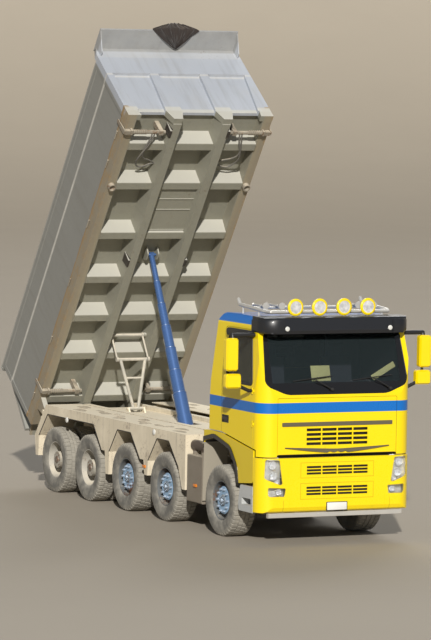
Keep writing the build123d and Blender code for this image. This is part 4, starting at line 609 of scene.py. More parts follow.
# Rings of a wheel from its middle, as radius and colour
# The front rim's near-black ring from 0.206 to 0.272 is painted shade in the channel round the disc
FRONT_RIM = ((0.0, (0.14, 0.17, 0.20)), (0.088, (0.26, 0.40, 0.56)), (0.206, (0.012, 0.013, 0.015)),
             (0.272, (0.13, 0.14, 0.145)))
REAR_RIM = ((0.0, (0.34, 0.32, 0.27)), (0.135, (0.20, 0.185, 0.155)), (0.18, (0.50, 0.49, 0.45)),
            (0.272, (0.44, 0.42, 0.37)))
RUBBER = ((0.0, (0.15, 0.145, 0.13)), (0.46, (0.20, 0.19, 0.165)), (0.505, (0.26, 0.245, 0.21)))


def wheel_rings(axle_x, rings):
    """A base that colours by the distance from a wheel's middle."""
    def base(finish):
        across = finish.x - axle_x
        height = finish.z - FRONT_AXLE.z
        distance = (across ** 2.0 + height ** 2.0) ** 0.5
        surface = rings[0][1]
        for radius, tone in rings[1:]:
            surface = mix(distance.beyond(radius, FINE), surface, tone)
        return surface
    return base


def rim_paint(number, axle_x):
    """Steel-blue bell with a dark hub in front and painted shade, near black, in the channel round it; dusty beige
    dish behind.
    """
    if number <= STEERED:
        return painted(f"rim {number}, steel blue", wheel_rings(axle_x, FRONT_RIM),
                       0.45, 0.26, 0.25, 0.4, scale=7.0)
    return painted(f"rim {number}, dusty grey", wheel_rings(axle_x, REAR_RIM),
                   0.55, 0.42, 0.3, 0.3, scale=5.0, dust_colour=PALE_DUST)


def rubber(number, axle_x):
    """Tyre rubber: dark, with grey road dust thick on the tread and streaked over the walls."""
    return painted(f"tyre {number}, dusty rubber", wheel_rings(axle_x, RUBBER),
                   0.75, 0.50, 0.15, 0.0, scale=6.0, bump=0.35, dust_colour=(0.36, 0.34, 0.29))


def glass(name, tone, frit=None, opaque=0.34):
    """Tinted glass with a faint film of dust, and an opaque black edge where one is given."""
    finish = Finish(name)
    film = finish.dust(0.22, 0.1, 3.0) * 0.12
    surface = mix(film, tone, (0.5, 0.47, 0.4))
    alpha = film + opaque
    if frit:
        edge = frit(finish)
        surface = mix(edge, surface, (0.008, 0.008, 0.009))
        alpha = alpha | edge
    finish.set(base_color=surface, alpha=alpha, roughness=0.04, metallic=0.0, specular_ior_level=0.8)
    finish.material.surface_render_method = "BLENDED"
    return finish.material


def screen_frit(finish):
    """Black border of the windscreen, and the whole of the dark rear window."""
    low, high = SCREEN_CLEAR
    foot = finish.z.band(0.0, low, 0.003)
    head = finish.z.band(high, FAR, 0.003)
    ends = abs(finish.y).band(SCREEN_HALF, FAR, 0.003)
    rear = finish.x.band(-FAR, REAR_WINDOW, 0.01)
    return (foot | head) | (ends | rear)


def lens_glass():
    """Clear lamp glass with a fine moulded grid."""
    finish = Finish("lamp glass, moulded")
    tone = finish.variation((0.82, 0.85, 0.86), (0.95, 0.96, 0.95), 12.0)
    finish.set(base_color=tone, roughness=0.06, transmission_weight=0.95, ior=1.08, alpha=0.45)
    finish.bumps(finish.waves("Y", 26.0, 0.4) + finish.waves("Z", 26.0, 0.4), 0.10, 0.002)
    return finish.material


def cloth(name, first, second, scale):
    """Woven cloth: crossed fine waves over slow stains."""
    finish = Finish(name)
    stains = finish.dust(0.30, 0.25, 6.0) * 0.45
    surface = mix(stains, finish.variation(first, second, 9.0), (0.16, 0.13, 0.10))
    finish.set(base_color=surface, roughness=0.85, sheen_weight=0.25)
    finish.bumps(finish.waves("X", scale) * finish.waves("Z", scale), 0.3, 0.002)
    return finish.material


def lamp_colour(name, tone):
    """A coloured lens: a fluted clear cover over a strong tone."""
    finish = Finish(name)
    ribs = finish.waves("Z", 30.0)
    darker = [value * 0.6 for value in tone]
    finish.set(base_color=mix(ribs, tone, darker), roughness=0.15, coat_weight=0.6)
    finish.bumps(ribs, 0.2, 0.002)
    return finish.material


# Painted finishes by slot or name: the material's name, its base, roughness, dust, dust on level
# faces, wear and further settings
PAINTS = {
    "cab_yellow": ("cab yellow and blue", cab_bands, 0.26, 0.0, 0.03, 0.0, dict(coat=0.25, bump=0.01)),
    "panel_yellow": ("panel yellow, painted shade in slots", panel_bands, 0.24, 0.01, 0.05, 0.0,
                     dict(coat=0.35, bump=0.01)),
    "fender_yellow": ("fender yellow, black lip", fender_bands, 0.3, 0.16, 0.1, 0.0,
                      dict(coat=0.4, bump=0.02)),
    "plain_yellow": ("yellow paint", (YELLOW, YELLOW_DEEP), 0.25, 0.06, 0.1, 0.0,
                     dict(coat=0.5, bump=0.01)),
    "trim_black": ("black trim, grey bars", trim_bands, 0.36, 0.0, 0.12, 0.0, dict(coat=0.2, bump=0.02)),
    "black_plastic": ("black moulding", (BLACK, (0.02, 0.02, 0.021)), 0.42, 0.10, 0.25, 0.0,
                      dict(scale=4.0, bump=0.08)),
    "grey_plastic": ("grey moulding", side_bands, 0.5, 0.20, 0.4, 0.25, dict(scale=3.0)),
    "fitting_rust": ("lock steel, brown", ((0.17, 0.145, 0.11), (0.34, 0.31, 0.25)), 0.6, 0.28, 0.4, 0.45,
                     dict(chip=(0.16, 0.08, 0.035), scale=6.0)),
    "link_grey": ("link grey under dust", ((0.30, 0.29, 0.25), (0.44, 0.42, 0.36)), 0.6, 0.45, 0.4, 0.3,
                  dict(dust_colour=PALE_DUST, scale=5.0)),
    "frame_paint": ("frame black under dust", ((0.035, 0.034, 0.032), (0.06, 0.057, 0.05)),
                    0.6, 0.38, 0.45, 0.2, dict(scale=2.6)),
    "dusty_paint": ("mudguard under beige dust", ((0.60, 0.53, 0.40), (0.74, 0.66, 0.51)),
                    0.62, 0.45, 0.5, 0.30,
                    dict(chip=(0.20, 0.15, 0.11), dust_colour=(0.82, 0.74, 0.58), scale=1.8,
                         streaks=0.26, streak_colour=(0.25, 0.21, 0.16), bump=0.3)),
    "axle_iron": ("axle black, muddy", ((0.03, 0.028, 0.026), (0.05, 0.045, 0.04)), 0.7, 0.42, 0.35, 0.25,
                  dict(scale=3.0)),
    "hoist_blue": ("hoist blue", ((0.06, 0.14, 0.36), (0.10, 0.19, 0.42)), 0.24, 0.10, 0.2, 0.0,
                   dict(coat=0.3, metallic=0.45, scale=3.0, bump=0.02)),
    "bright_steel": ("roof bar steel", ((0.62, 0.61, 0.57), (0.72, 0.70, 0.66)), 0.32, 0.15, 0.3, 0.0,
                     dict(metallic=0.55, scale=5.0, bump=0.04)),
    "gland_steel": ("gland rings", ((0.34, 0.40, 0.52), (0.2992, 0.352, 0.4576)), 0.32, 0.14, 0.3, 0.0,
                    dict(metallic=1.0, scale=5.0, bump=0.04)),
    "mirror_bright": ("mirror silver", ((0.86, 0.88, 0.90), (0.7568, 0.7744, 0.792)),
                      0.04, 0.02, 0.3, 0.0, dict(metallic=1.0, scale=5.0, bump=0.04)),
    # Painted glints: pure white flecks over grey on the lamp trays
    "lamp_tray_glints": ("lamp tray, grey with painted glints", ((0.62, 0.64, 0.66), (1.0, 1.0, 1.0)), 0.2, 0.0, 0.0, 0.0,
                    dict(metallic=0.1, scale=34.0, bump=0.5)),
    # Painted reflection: the lamp bowls are white-silver and only partly metallic, to look bright
    "lamp_bowl": ("lamp bowl, painted white sheen", ((0.80, 0.83, 0.87), (0.98, 0.98, 1.0)), 0.12, 0.0, 0.0, 0.0,
                  dict(metallic=0.35, scale=40.0, bump=0.3)),
    # Painted reflections: pure white flecks over the dark roof lamp faces
    "lamp_face": ("roof lamp face, painted glints", ((0.10, 0.11, 0.12), (1.0, 1.0, 1.0)), 0.1, 0.0, 0.0, 0.0,
                  dict(coat=0.8, scale=17.0)),
    "front_nut": ("nuts, blue grey", ((0.42, 0.50, 0.60), (0.30, 0.37, 0.46)), 0.4, 0.15, 0.1, 0.2,
                  dict(metallic=0.3, scale=9.0)),
    "nut_steel": ("nuts, rusty", ((0.20, 0.18, 0.16), (0.30, 0.27, 0.23)), 0.5, 0.3, 0.2, 0.5,
                  dict(metallic=0.5, scale=9.0)),
    "plate_white": ("plate, plain white", ((0.75, 0.75, 0.72), (0.68, 0.68, 0.64)), 0.35, 0.10, 0.1, 0.0,
                    dict(scale=6.0, bump=0.02)),
    "card_green": ("card, pale green", ((0.95, 1.0, 0.45), (0.97, 1.0, 0.52)), 0.6, 0.05, 0.05, 0.0,
                   dict(bump=0.02)),
    "hose": ("hose rubber", ((0.11, 0.105, 0.095), (0.17, 0.16, 0.14)), 0.6, 0.35, 0.3, 0.0,
             dict(scale=8.0, bump=0.2)),
    "earth": ("loose earth", ((0.30, 0.24, 0.17), (0.44, 0.37, 0.27)), 0.95, 0.35, 0.3, 0.4,
              dict(chip=(0.17, 0.13, 0.09), scale=14.0, bump=0.9)),
}


def mirror_paint():
    """Mirrors and their arms share a node: the housings yellow, arms and deflector black."""
    finish = Finish("mirror housings and arms")
    outer = abs(finish.y).band(MIRROR_INNER, FAR, SHARP)
    upper, lower = [finish.z.band(*heights, SHARP) for heights in MIRROR_HOUSINGS]
    housing = outer * (upper | lower)
    yellow = finish.variation(YELLOW, YELLOW_DEEP, 2.0)
    finish.set(base_color=mix(housing, (0.014, 0.014, 0.015), yellow),
               roughness=housing * -0.22 + 0.45, coat_weight=housing * 0.6)
    finish.bumps(finish.vector.noise(80.0), 0.03)
    return finish.material


def make_finishes():
    """Every material of the truck, by the record's slot or by the finish's own name."""
    made = {key: painted(*row, **settings) for key, (*row, settings) in PAINTS.items()}
    made.update({
        "bed_paint": bed_paint(),
        "mirror_paint": mirror_paint(),
        "glass": glass("side glass, tinted", (0.02, 0.028, 0.03), opaque=0.66),
        "screen": glass("windscreen, black edge", (0.02, 0.03, 0.032), screen_frit),
        "lamp_glass": lens_glass(),
        "cabin_fabric": cloth("cabin cloth", (0.03, 0.035, 0.05), (0.05, 0.06, 0.09), 90.0),
        "tarp": cloth("tarpaulin, dirty", (0.012, 0.009, 0.008), (0.034, 0.022, 0.017), 120.0),
        "amber": lamp_colour("amber lens", (0.85, 0.25, 0.01)),
        "red": lamp_colour("red lens", (0.45, 0.01, 0.01)),
        "white_lens": lamp_colour("white lens", (0.80, 0.80, 0.76)),
    })
    for number in range(1, AXLES + 1):
        axle_x = JOINTS[f"spin_{number}_left"]["pos_m"][0]
        made[f"rim_{number}"] = rim_paint(number, axle_x)
        made[f"tyre_{number}"] = rubber(number, axle_x)
    return made


FINISHES = {}


# Tyres
GROOVE = 0.013
TWIN_GAP = 0.040
BEAD = 0.292
# Shares of a pitch at which a slot begins, deepens and ends, and which of those points are cut
SLOT_SHARES = (0.0, 0.13, 0.17, 0.5, 0.83, 0.87)
SLOT_CUT = (1.0, 1.0, 0.0, 0.0, 0.0, 1.0)
# Grooves round the tyre and the border of the inner rows, as shares of its half width
OUTER_GROOVE = (0.37, 0.42)
MIDDLE_GROOVE = 0.025
INNER_ROWS = 0.395


def tyre_profile(half, radius):
    """Half widths and radii from one bead, over the tread, to the other."""
    # Shares of the half width with heights over the bead, then with depths under the tread
    low = ((0.80, 0.0), (0.865, 0.012), (0.93, 0.040), (0.975, 0.075), (0.995, 0.11), (1.0, 0.135))
    high = ((0.995, 0.075), (0.975, 0.050), (0.945, 0.034), (0.90, 0.021), (0.865, 0.015))
    wall = [(share, BEAD + up) for share, up in low] + [(share, radius - down) for share, down in high]
    crown = np.array([0.835, 0.78, 0.60, 0.43, 0.415, 0.375, 0.36, 0.20, 0.035, 0.02])
    rise = np.column_stack([crown, radius - 0.001 - 0.010 * crown ** 2])
    side = np.concatenate([wall, rise])
    return np.concatenate([side, side[::-1] * (-1, 1)]) * (half, 1)


def tread_shape(centre, width, radius, pitches):
    """A tyre surface with its tread cut in.

    Point = centre + across * Y + r * (sin a, 0, cos a), where r is the profile's radius less the
    groove depth: 13 mm in the rings between rows of blocks and in the slots across each row, which
    are offset by half a pitch from row to row and run out over the shoulders."""
    profile = tyre_profile(width / 2, radius)
    share = profile[:, 0] / (width / 2)
    turn = (np.arange(pitches)[:, None] + np.array(SLOT_SHARES)[None]).reshape(-1) / pitches
    slot = np.tile(SLOT_CUT, pitches)
    size = np.abs(share)
    ring = ((size > OUTER_GROOVE[0]) & (size < OUTER_GROOVE[1])) | (size < MIDDLE_GROOVE)
    row = np.where(size > INNER_ROWS, 0.5, 0.0) + np.where(share > 0, 0.25, 0.0)
    reach = np.interp(size, (0.84, 0.945, 0.98), (1.0, 0.9, 0.0)) * (profile[:, 1] > radius - 0.06)
    middle = np.where(size < 0.4, 0.45, 1.0)
    angle = 2 * math.pi * (turn[:, None] + row[None] / pitches)
    depth = GROOVE * np.maximum(ring[None] * 1.0, slot[:, None] * (reach * middle)[None])
    distance = profile[None, :, 1] - depth
    across = np.broadcast_to(profile[None, :, 0], angle.shape)
    points = np.stack([distance * np.sin(angle), across, distance * np.cos(angle)], -1)
    points = points + np.array(centre)
    return points.reshape(-1, 3), grid_faces(len(turn), len(profile), True, True)


def wheels():
    """Every wheel, as its axle's number, its side's name and sign, and the corners of its tyre's box."""
    for number in range(1, AXLES + 1):
        for name, side in SIDES:
            low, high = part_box(f"tyre_{number}_{name}")
            yield number, name, side, low, high


def make_tyres(pitches, radius):
    """A treaded tyre at each front wheel and two at each rear one, in place of the plain ones."""
    for number, name, _, low, high in wheels():
        x = (low.x + high.x) / 2
        bands = ((low.y, high.y),)
        if number > STEERED:
            width = (high.y - low.y - TWIN_GAP) / 2
            bands = ((low.y, low.y + width), (high.y - width, high.y))
        shapes = [tread_shape((x, (a + b) / 2, low.z + radius), b - a, radius, pitches) for a, b in bands]
        piece = put(f"tread_{number}_{name}", join(shapes), f"wheel_{number}_{name}", "tyre_rubber",
                    f"tyre_{number}")
        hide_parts(f"tyre_{number}_{name}")


# Wheel nuts, with sizes for the front wheels and then the rear ones
NUT_SEAT = (0.064, 0.282)
CAP_SEAT = (0.038, 0.055)
CAP_CIRCLE = (0.062, 0.108)
CAP_RADIUS = (0.034, 0.06)
CAP_BOLTS = 8
CAP_BOLT = ((0, 0.009), (0.007, 0.009), (0.010, 0.006), (0.010, 0))
NUT_FINISH = ("front_nut", "nut_steel")
NUT_HEIGHT = 0.026


def hex_nut(centre, axis, radius, height):
    """A six-sided nut with a washer below and its stud through the top."""
    washer = [(0, 0), (0, radius * 1.25), (height * 0.18, radius * 1.25), (height * 0.18, radius * 0.8)]
    nut = [(height * 0.15, radius), (height * 0.85, radius), (height, radius * 0.8), (height, radius * 0.5)]
    stud = [(height * 0.9, radius * 0.5), (height * 1.5, radius * 0.5), (height * 1.6, radius * 0.35),
            (height * 1.6, 0)]
    return [lathe(profile, centre, axis, steps) for profile, steps in ((washer, 12), (nut, 6), (stud, 8))]


def ring_places(count, radius, x, y, start):
    """Places evenly round a wheel's middle, the first one a share of a step from the top."""
    for turn in range(count):
        angle = 2 * math.pi * (turn + start) / count
        yield (x + radius * math.sin(angle), y, FRONT_AXLE.z + radius * math.cos(angle))


def make_wheel_nuts(nuts, circle, nut_radius):
    """The nuts of every wheel, and the cap and bolts of its hub."""
    for number, name, side, low, high in wheels():
        rear = int(number > STEERED)
        face = high.y if side > 0 else low.y
        axis = (0, side, 0)
        x = (low.x + high.x) / 2
        shapes = []
        for place in ring_places(nuts, circle, x, face - side * NUT_SEAT[rear], 0.5):
            shapes += hex_nut(place, axis, nut_radius, NUT_HEIGHT)
        cap_seat = face - side * CAP_SEAT[rear]
        for place in ring_places(CAP_BOLTS, CAP_CIRCLE[rear], x, cap_seat, 0.0):
            shapes.append(lathe(CAP_BOLT, place, axis, 6))
        middle = CAP_RADIUS[rear]
        cap = [(0, middle), (0.012, middle * 0.94), (0.020, middle * 0.7), (0.022, 0)]
        shapes.append(lathe(cap, (x, cap_seat, FRONT_AXLE.z), axis, 20))
        put(f"wheel_nuts_{number}_{name}", join(shapes), f"wheel_{number}_{name}", "axle_iron",
            NUT_FINISH[rear])


# Lamps: front lamps as distance from the middle, height and radius
FRONT_LAMPS = ((1.035, 1.175, 0.062), (1.02, 1.015, 0.060), (0.955, 0.93, 0.034), (0.93, 0.78, 0.045))
BOWL_DEPTH = 0.045
BOWL_X = 1.318
TRAY_X = 1.262
# Trays behind them as distance from the middle, height of the middle, height and corner radius
TRAYS = ((1.03, 1.06, 0.44, 0.05), (0.965, 0.78, 0.17, 0.03))
ROOF_LAMPS = (-0.593, -0.2, 0.2, 0.593)
ROOF_LAMP_X = 1.1173
ROOF_LAMP_Z = 3.445
ROOF_LAMP_RING = ((-0.020, 0.104), (-0.010, 0.124), (0.004, 0.127), (0.014, 0.120), (0.020, 0.106),
                  (0.018, 0.092), (-0.020, 0.092))
ROOF_LAMP_FACE = ((0.013, 0.094), (0.016, 0.070), (0.019, 0.03), (0.020, 0))
VISOR_LAMP = ((0, 0.036), (0.008, 0.034), (0.014, 0.022), (0.016, 0))
VISOR_LAMP_PLACE = (1.349, 0.84, 3.15)


def bowl(centre, axis, radius, depth):
    """A lamp's bright bowl: radius falls with the square root of depth, with a bulb at its middle."""
    share = np.linspace(0, 1, 9)
    inner = [(-depth * s ** 2, radius * (1 - s) ** 0.5 if s < 1 else 0.004) for s in share]
    rim = [(0.006, radius * 1.08), (0.010, radius * 1.02), (0.004, radius)]
    bulb = [(-depth, 0.012), (-depth * 0.4, 0.012), (-depth * 0.25, 0.007), (-depth * 0.2, 0)]
    return [lathe(rim + inner, centre, axis, 28), lathe(bulb, centre, axis, 10)]


def make_lamps():
    """Bowls and trays behind the front lamp glass, rings and faces of the roof lamps, visor lamps."""
    for name, side in SIDES:
        shapes = []
        for y, z, radius in FRONT_LAMPS:
            shapes += bowl(at(BOWL_X, side * y, z), X, radius, BOWL_DEPTH)
        # The bowls are painted white-silver for their shine
        put(f"lamp_bowls_{name}", join(shapes), "chassis", "bright_steel", "lamp_bowl")
        trays = [slab(at(TRAY_X, side * y, z), (0.30, height, 0.008), radius, Y, Z)
                 for y, z, height, radius in TRAYS]
        # The trays carry painted white glints
        put(f"lamp_tray_{name}", join(trays), "chassis", "bright_steel", "lamp_tray_glints")
    places = [(ROOF_LAMP_X + DATUM_X - 0.012, y, ROOF_LAMP_Z) for y in ROOF_LAMPS]
    rings = [lathe(ROOF_LAMP_RING, place, X, 40) for place in places]
    put("roof_lamp_rings", join(rings), "chassis", "cab_yellow", "plain_yellow")
    faces = [lathe(ROOF_LAMP_FACE, place, X, 32) for place in places]
    # The roof lamp faces carry painted white reflections
    put("roof_lamp_faces", join(faces), "chassis", "lamp_glass", "lamp_face")
    x, y, z = VISOR_LAMP_PLACE
    small = [lathe(VISOR_LAMP, at(x, side * y, z), X, 24) for side in (-1, 1)]
    put("visor_lamps", join(small), "chassis", "lamp_glass", "white_lens")


# Trim on the cab
VISOR_FRONT = 1.356
VISOR_HALF = 1.212
VISOR_BACK = 0.93
VISOR_ROUND = 0.26
VISOR_LOW = 3.075
VISOR_HIGH = 3.285
VISOR_LIP = 0.03
BLADE_DEPTH = 0.032
# The part's lower trim bar as its heights and the X behind it, and the blade's rows as distance out
# and share of its depth
BLADE_BAR = (1.34, 1.50)
BLADE_BACK = 1.25
BLADE_ROWS = ((-0.020, 0.0), (0.003, 0.002), (0.013, 1.0), (-0.020, 1.0))
WIPER_HALF = 0.33
WIPER_PIVOT_Z = 2.265
WIPER_HUB = ((-0.02, 0.026), (0.018, 0.026), (0.028, 0.016), (0.030, 0))
# Wipers as the Y of the pivot, and Y and Z of the blade's middle
WIPERS = {"right": (-0.10, -0.40, 2.42), "left": (0.86, 0.58, 2.42)}
# A side window's corners as X and Z, with their rounding
WINDOW = ((0.180, 2.330, 0.06), (0.180, 3.010, 0.08), (0.930, 3.010, 0.07), (1.035, 2.330, 0.06))
WINDOW_STRIP = (0.84, 0.115, 0.070)
WINDOW_STRIP_Z = 3.05
# Mirror glass as distance from the middle, height of its middle, width and height
MIRROR_X = 0.983
MIRROR_GLASS = ((1.583, 2.770, 0.16, 0.42), (1.558, 2.384, 0.20, 0.16))
# Flat plates as X, Z, size and corner radius, the later ones after their piece, slot and finish
PLATE_HOLDER = (1.377, 0.555, (0.345, 0.130, 0.006), 0.010)
PLATES = (
    # A black plate behind the gap between panel and bumper stands in for the shade in the gap
    ("gap_shade_plate", "black_plastic", None, TRAY_X, 1.29, (1.90, 0.14, 0.006), 0.01),
    ("number_plate_blank", "cab_yellow", "plate_white", 1.381, 0.555, (0.32, 0.11, 0.008), 0.008),
)
# Blank cards behind the screen as piece, distance from the glass, Y, Z, size, and the ways across and up
CARDS = (
    ("card_blank", 0.030, -0.24, 2.49, (0.31, 0.23, 0.004), Y, (-0.28, 0, 1)),
    ("board_blank", 0.045, 0.80, 2.505, (0.44, 0.085, 0.004), (-0.14, 1, 0.52), (-0.28, -0.50, 1)),
)
# Rings of the window rubber, as distance out from the glass edge and proud of the door
SEAL_RINGS = ((-0.016, -0.008), (-0.016, 0.003), (-0.004, 0.008), (0.022, 0.007), (0.028, -0.002))


def screen_x(z):
    """X of the windscreen's outer face at a height, in the middle of the truck."""
    return np.interp(z, (2.18, 2.32, 3.09), (1.345, 1.330, 1.100))


def curve(start, corner, end, steps):
    """A curve from start to end that is drawn towards the corner."""
    share = np.linspace(0, 1, steps)[:, None]
    start, corner, end = np.array(start), np.array(corner), np.array(end)
    return (1 - share) ** 2 * start + 2 * share * (1 - share) * corner + share ** 2 * end


def wiper(pivot_y, tip_y, tip_z):
    """An arm from its pivot to the blade's middle, and a blade of two strips on the glass."""
    pivot = at(screen_x(WIPER_PIVOT_Z) + 0.020, pivot_y, WIPER_PIVOT_Z - 0.003)
    tip = at(screen_x(tip_z) + 0.034, tip_y, tip_z)
    middle = pivot.lerp(tip, 0.5) + Vector((0.028, 0, 0))
    blade = []
    for step in np.linspace(-1, 1, 14):
        z = tip_z + step * WIPER_HALF * 0.10
        proud = 0.012 + 0.004 * (1 - step ** 2)
        blade.append(tuple(at(screen_x(z) + proud, tip_y + step * WIPER_HALF * 0.97, z)))
    return [tube(curve(pivot, middle, tip, 12), np.linspace(0.013, 0.007, 12), 8),
            lathe(WIPER_HUB, pivot, (1, 0, 0.25), 16),
            tube(blade, 0.008, 6),
            tube([np.array(point) + (0.009, 0, 0.004) for point in blade[2:-2]], 0.006, 6)]


def side_y(z):
    """Y of the cab's side at a height."""
    return np.interp(z, (2.3, 3.19), (1.245, 1.19))


def window_seal(side):
    """Black rubber round a side window: a band of rings from the glass edge out over the door."""
    corners = np.array(WINDOW)[:, :2]
    loop = []
    for index, corner in enumerate(corners):
        radius = WINDOW[index][2]
        before = corners[index - 1] - corner
        after = corners[(index + 1) % 4] - corner
        start = corner + before / np.linalg.norm(before) * radius
        end = corner + after / np.linalg.norm(after) * radius
        loop.append(curve(start, corner, end, 7))
    loop = np.concatenate(loop)
    ahead = np.roll(loop, -1, 0) - np.roll(loop, 1, 0)
    normal = np.stack([-ahead[:, 1], ahead[:, 0]], -1)
    normal /= np.linalg.norm(normal, axis=1)[:, None]
    normal *= np.sign(((loop - loop.mean(0)) * normal).sum(1))[:, None]
    rings = []
    for out, proud in SEAL_RINGS:
        x, z = (loop + normal * out).T
        rings.append(np.column_stack([x + DATUM_X, side * (side_y(z) + proud), z]))
    return np.concatenate(rings), grid_faces(len(rings), len(loop), close_columns=True)


def visor_corner(side):
    """The visor's rounded end: a shell swept round a quarter circle from the front to the cab's side."""
    turn = np.linspace(0, math.pi / 2, 12)
    arc = np.stack([VISOR_FRONT - VISOR_ROUND * (1 - np.cos(turn)),
                    VISOR_HALF - VISOR_ROUND * (1 - np.sin(turn))], -1)
    start = (VISOR_FRONT, VISOR_HALF - VISOR_ROUND - 0.05)
    plan = np.concatenate([[start], arc, [(VISOR_BACK, VISOR_HALF + 0.004)]])
    rows = []
    # Insets and heights up the outside and back down the inside
    for inset, z in ((0.030, VISOR_LOW), (0.004, VISOR_LOW + VISOR_LIP), (0.004, VISOR_HIGH - VISOR_LIP),
                     (0.030, VISOR_HIGH), (0.036, VISOR_HIGH), (0.016, VISOR_LOW + VISOR_LIP),
                     (0.036, VISOR_LOW)):
        middle = np.array((VISOR_BACK, 0.0))
        shrunk = middle + (plan - middle) * (1 - (inset - 0.004) / 1.2)
        rows.append(np.column_stack([shrunk[:, 0] + DATUM_X, side * shrunk[:, 1], np.full(len(shrunk), z)]))
    return np.concatenate(rows), grid_faces(len(rows), len(plan), close_rows=True)


def make_cab_trim():
    """Wipers, window rubbers and strips, mirror glass, trim blade, blank plate and cards."""
    put("visor_ends", join([visor_corner(-1), visor_corner(1)]), "chassis", "black_plastic", "trim_black")
    for name, places in WIPERS.items():
        put(f"wiper_{name}", join(wiper(*places)), "chassis", "black_plastic")
    for name, side in SIDES:
        door = f"door_{name}"
        put(f"window_seal_{name}", window_seal(side), door, "black_plastic")
        middle = at(0.60, side * (side_y(WINDOW_STRIP_Z + 0.005) + 0.036), WINDOW_STRIP_Z)
        strip = slab(middle, WINDOW_STRIP, 0.050, X, Z, 0.020)
        put(f"window_strip_{name}", strip, door, "black_plastic")
        faces = [slab(at(MIRROR_X, side * y, z), (width, height, 0.004), 0.03, Y, Z, THIN)
                 for y, z, width, height in MIRROR_GLASS]
        put(f"mirror_glass_{name}", join(faces), door, "glass", "mirror_bright")
    x, z, size, radius = PLATE_HOLDER
    put("plate_holder", slab(at(x, 0, z), size, radius, Y, Z, THIN), "chassis", "black_plastic")
    make_trim_blade()
    for name, slot, finish, x, z, size, radius in PLATES:
        put(name, slab(at(x, 0, z), size, radius, Y, Z, THIN), "chassis", slot, finish)
    for name, behind, y, z, size, across, up in CARDS:
        card = slab(at(screen_x(z) - behind, y, z), size, 0.004, across, up, THIN)
        put(name, card, "chassis", "cabin_fabric", "card_green")


def make_trim_blade():
    """The lower trim bar's blade: from the bar of the part down to a low curve, deepest in the middle."""
    points = node_points("black_trim")
    x, _, z = points.T
    bar = points[(z > BLADE_BAR[0]) & (z < BLADE_BAR[1]) & (x > DATUM_X + BLADE_BACK)]
    across = np.linspace(bar[:, 1].min() + 0.01, bar[:, 1].max() - 0.01, 41)
    places = np.unique(np.round(bar[:, 1], 2))
    near = [bar[np.abs(bar[:, 1] - y) < 0.011] for y in places]
    front = np.interp(across, places, [rows[:, 0].max() for rows in near])
    level = np.interp(across, places, [rows[:, 2].mean() for rows in near])
    share = 1 - (across / across.max()) ** 2
    rows = []
    for out, down in BLADE_ROWS:
        rows.append(np.column_stack([front + out, across, level - BLADE_DEPTH * share * down]))
    shape = (np.concatenate(rows), grid_faces(4, len(across), close_rows=True))
    put("trim_blade", shape, "chassis", "black_plastic", "trim_black")


# Hoist: a gland ring as distance along the axis from the stage's top and height over its surface
GLAND = ((-0.0065, -0.001), (-0.0065, 0.0015), (-0.0055, 0.002), (-0.0015, 0.002), (-0.0005, 0.0015),
         (-0.0005, -0.001), (-0.0065, -0.001))


def make_hoist_rings():
    """A bright gland ring round the top of every stage but the last."""
    stages = sorted(name for name in NODES if name.startswith("hoist_stage_"))
    axis = np.array(JOINTS["hoist_slide_1"]["axis"], float)
    foot = np.array(JOINTS["hoist_lean"]["pos_m"])
    for name in stages[:-1]:
        points = node_points(name) - foot
        along = points @ axis
        radial = np.linalg.norm(points - along[:, None] * axis, axis=1)
        top = along.max()
        radius = radial[along > top - 0.02].max()
        shape = lathe([(level, radius + over) for level, over in GLAND], foot + axis * top, axis, 48)
        put(f"gland_{name}", shape, name, "hoist_blue", "gland_steel")


# Tarpaulin bundle on the canopy
def tarp_shape(rows, columns):
    """A dark sheet bunched over the canopy's edge, drawn in to a point on its underside.

    Across the sheet, s runs from -1 to 1, and down it t from 0 at the crown over 0.3 at the edge to
    1 at the point. The sheet follows the canopy's slope with folds of 14 mm, and its half width falls
    from 0.41 m at the edge to nothing at the point."""
    s, t = np.meshgrid(np.linspace(-1, 1, columns), np.linspace(0, 1, rows))
    down = np.clip((t - 0.3) / 0.7, 0, 1)
    over = np.clip((0.3 - t) / 0.3, 0, 1)
    half = 0.400 * (1 - down ** 1.1) * (1 - 0.62 * over ** 1.5) + 0.010
    y = 0.095 + 0.045 * down + s * half
    fold = 0.014 * np.sin(s * 17 + 3 * t) + 0.009 * np.sin(s * 31 - 5 * t)
    bulge = 0.045 * np.sin(np.pi * np.clip(down * 1.1, 0, 1)) * (1 - s ** 2)
    u = 6.520 - 0.330 * down + 0.03 * over + 0.02 * (1 - s ** 2) * (1 - over) + fold * 0.4
    w = 1.575 - 0.070 * down - bulge - np.abs(fold) * (1 - over) + (0.03 + 0.10 * (1 - 0.6 * s ** 2)) * over
    return bed_points(np.stack([u, y, w], -1)), grid_faces(rows, columns)


def make_tarp():
    piece = put("tarp_bundle", tarp_shape(30, 60), "bed", "cabin_fabric", "tarp")
    thick = piece.modifiers.new("cloth", "SOLIDIFY")
    thick.thickness = 0.004


# Hoses of the front locks, as length, distance from the middle and height in the bed's own directions
LOCK_HOSES = (
    ((5.82, 0.775, -0.250), (5.74, 0.785, -0.262), (5.62, 0.815, -0.262), (5.50, 0.835, -0.258),
     (5.38, 0.830, -0.235), (5.29, 0.750, -0.190), (5.24, 0.650, -0.150), (5.19, 0.565, -0.130),
     (5.16, 0.510, -0.120)),
    ((5.82, 0.735, -0.250), (5.73, 0.745, -0.262), (5.60, 0.790, -0.264), (5.46, 0.850, -0.258),
     (5.30, 0.880, -0.220), (5.18, 0.860, -0.160), (5.08, 0.790, -0.130), (5.08, 0.680, -0.115),
     (5.14, 0.580, -0.120), (5.16, 0.510, -0.125)),
)
HOSE_RADIUS = 0.013


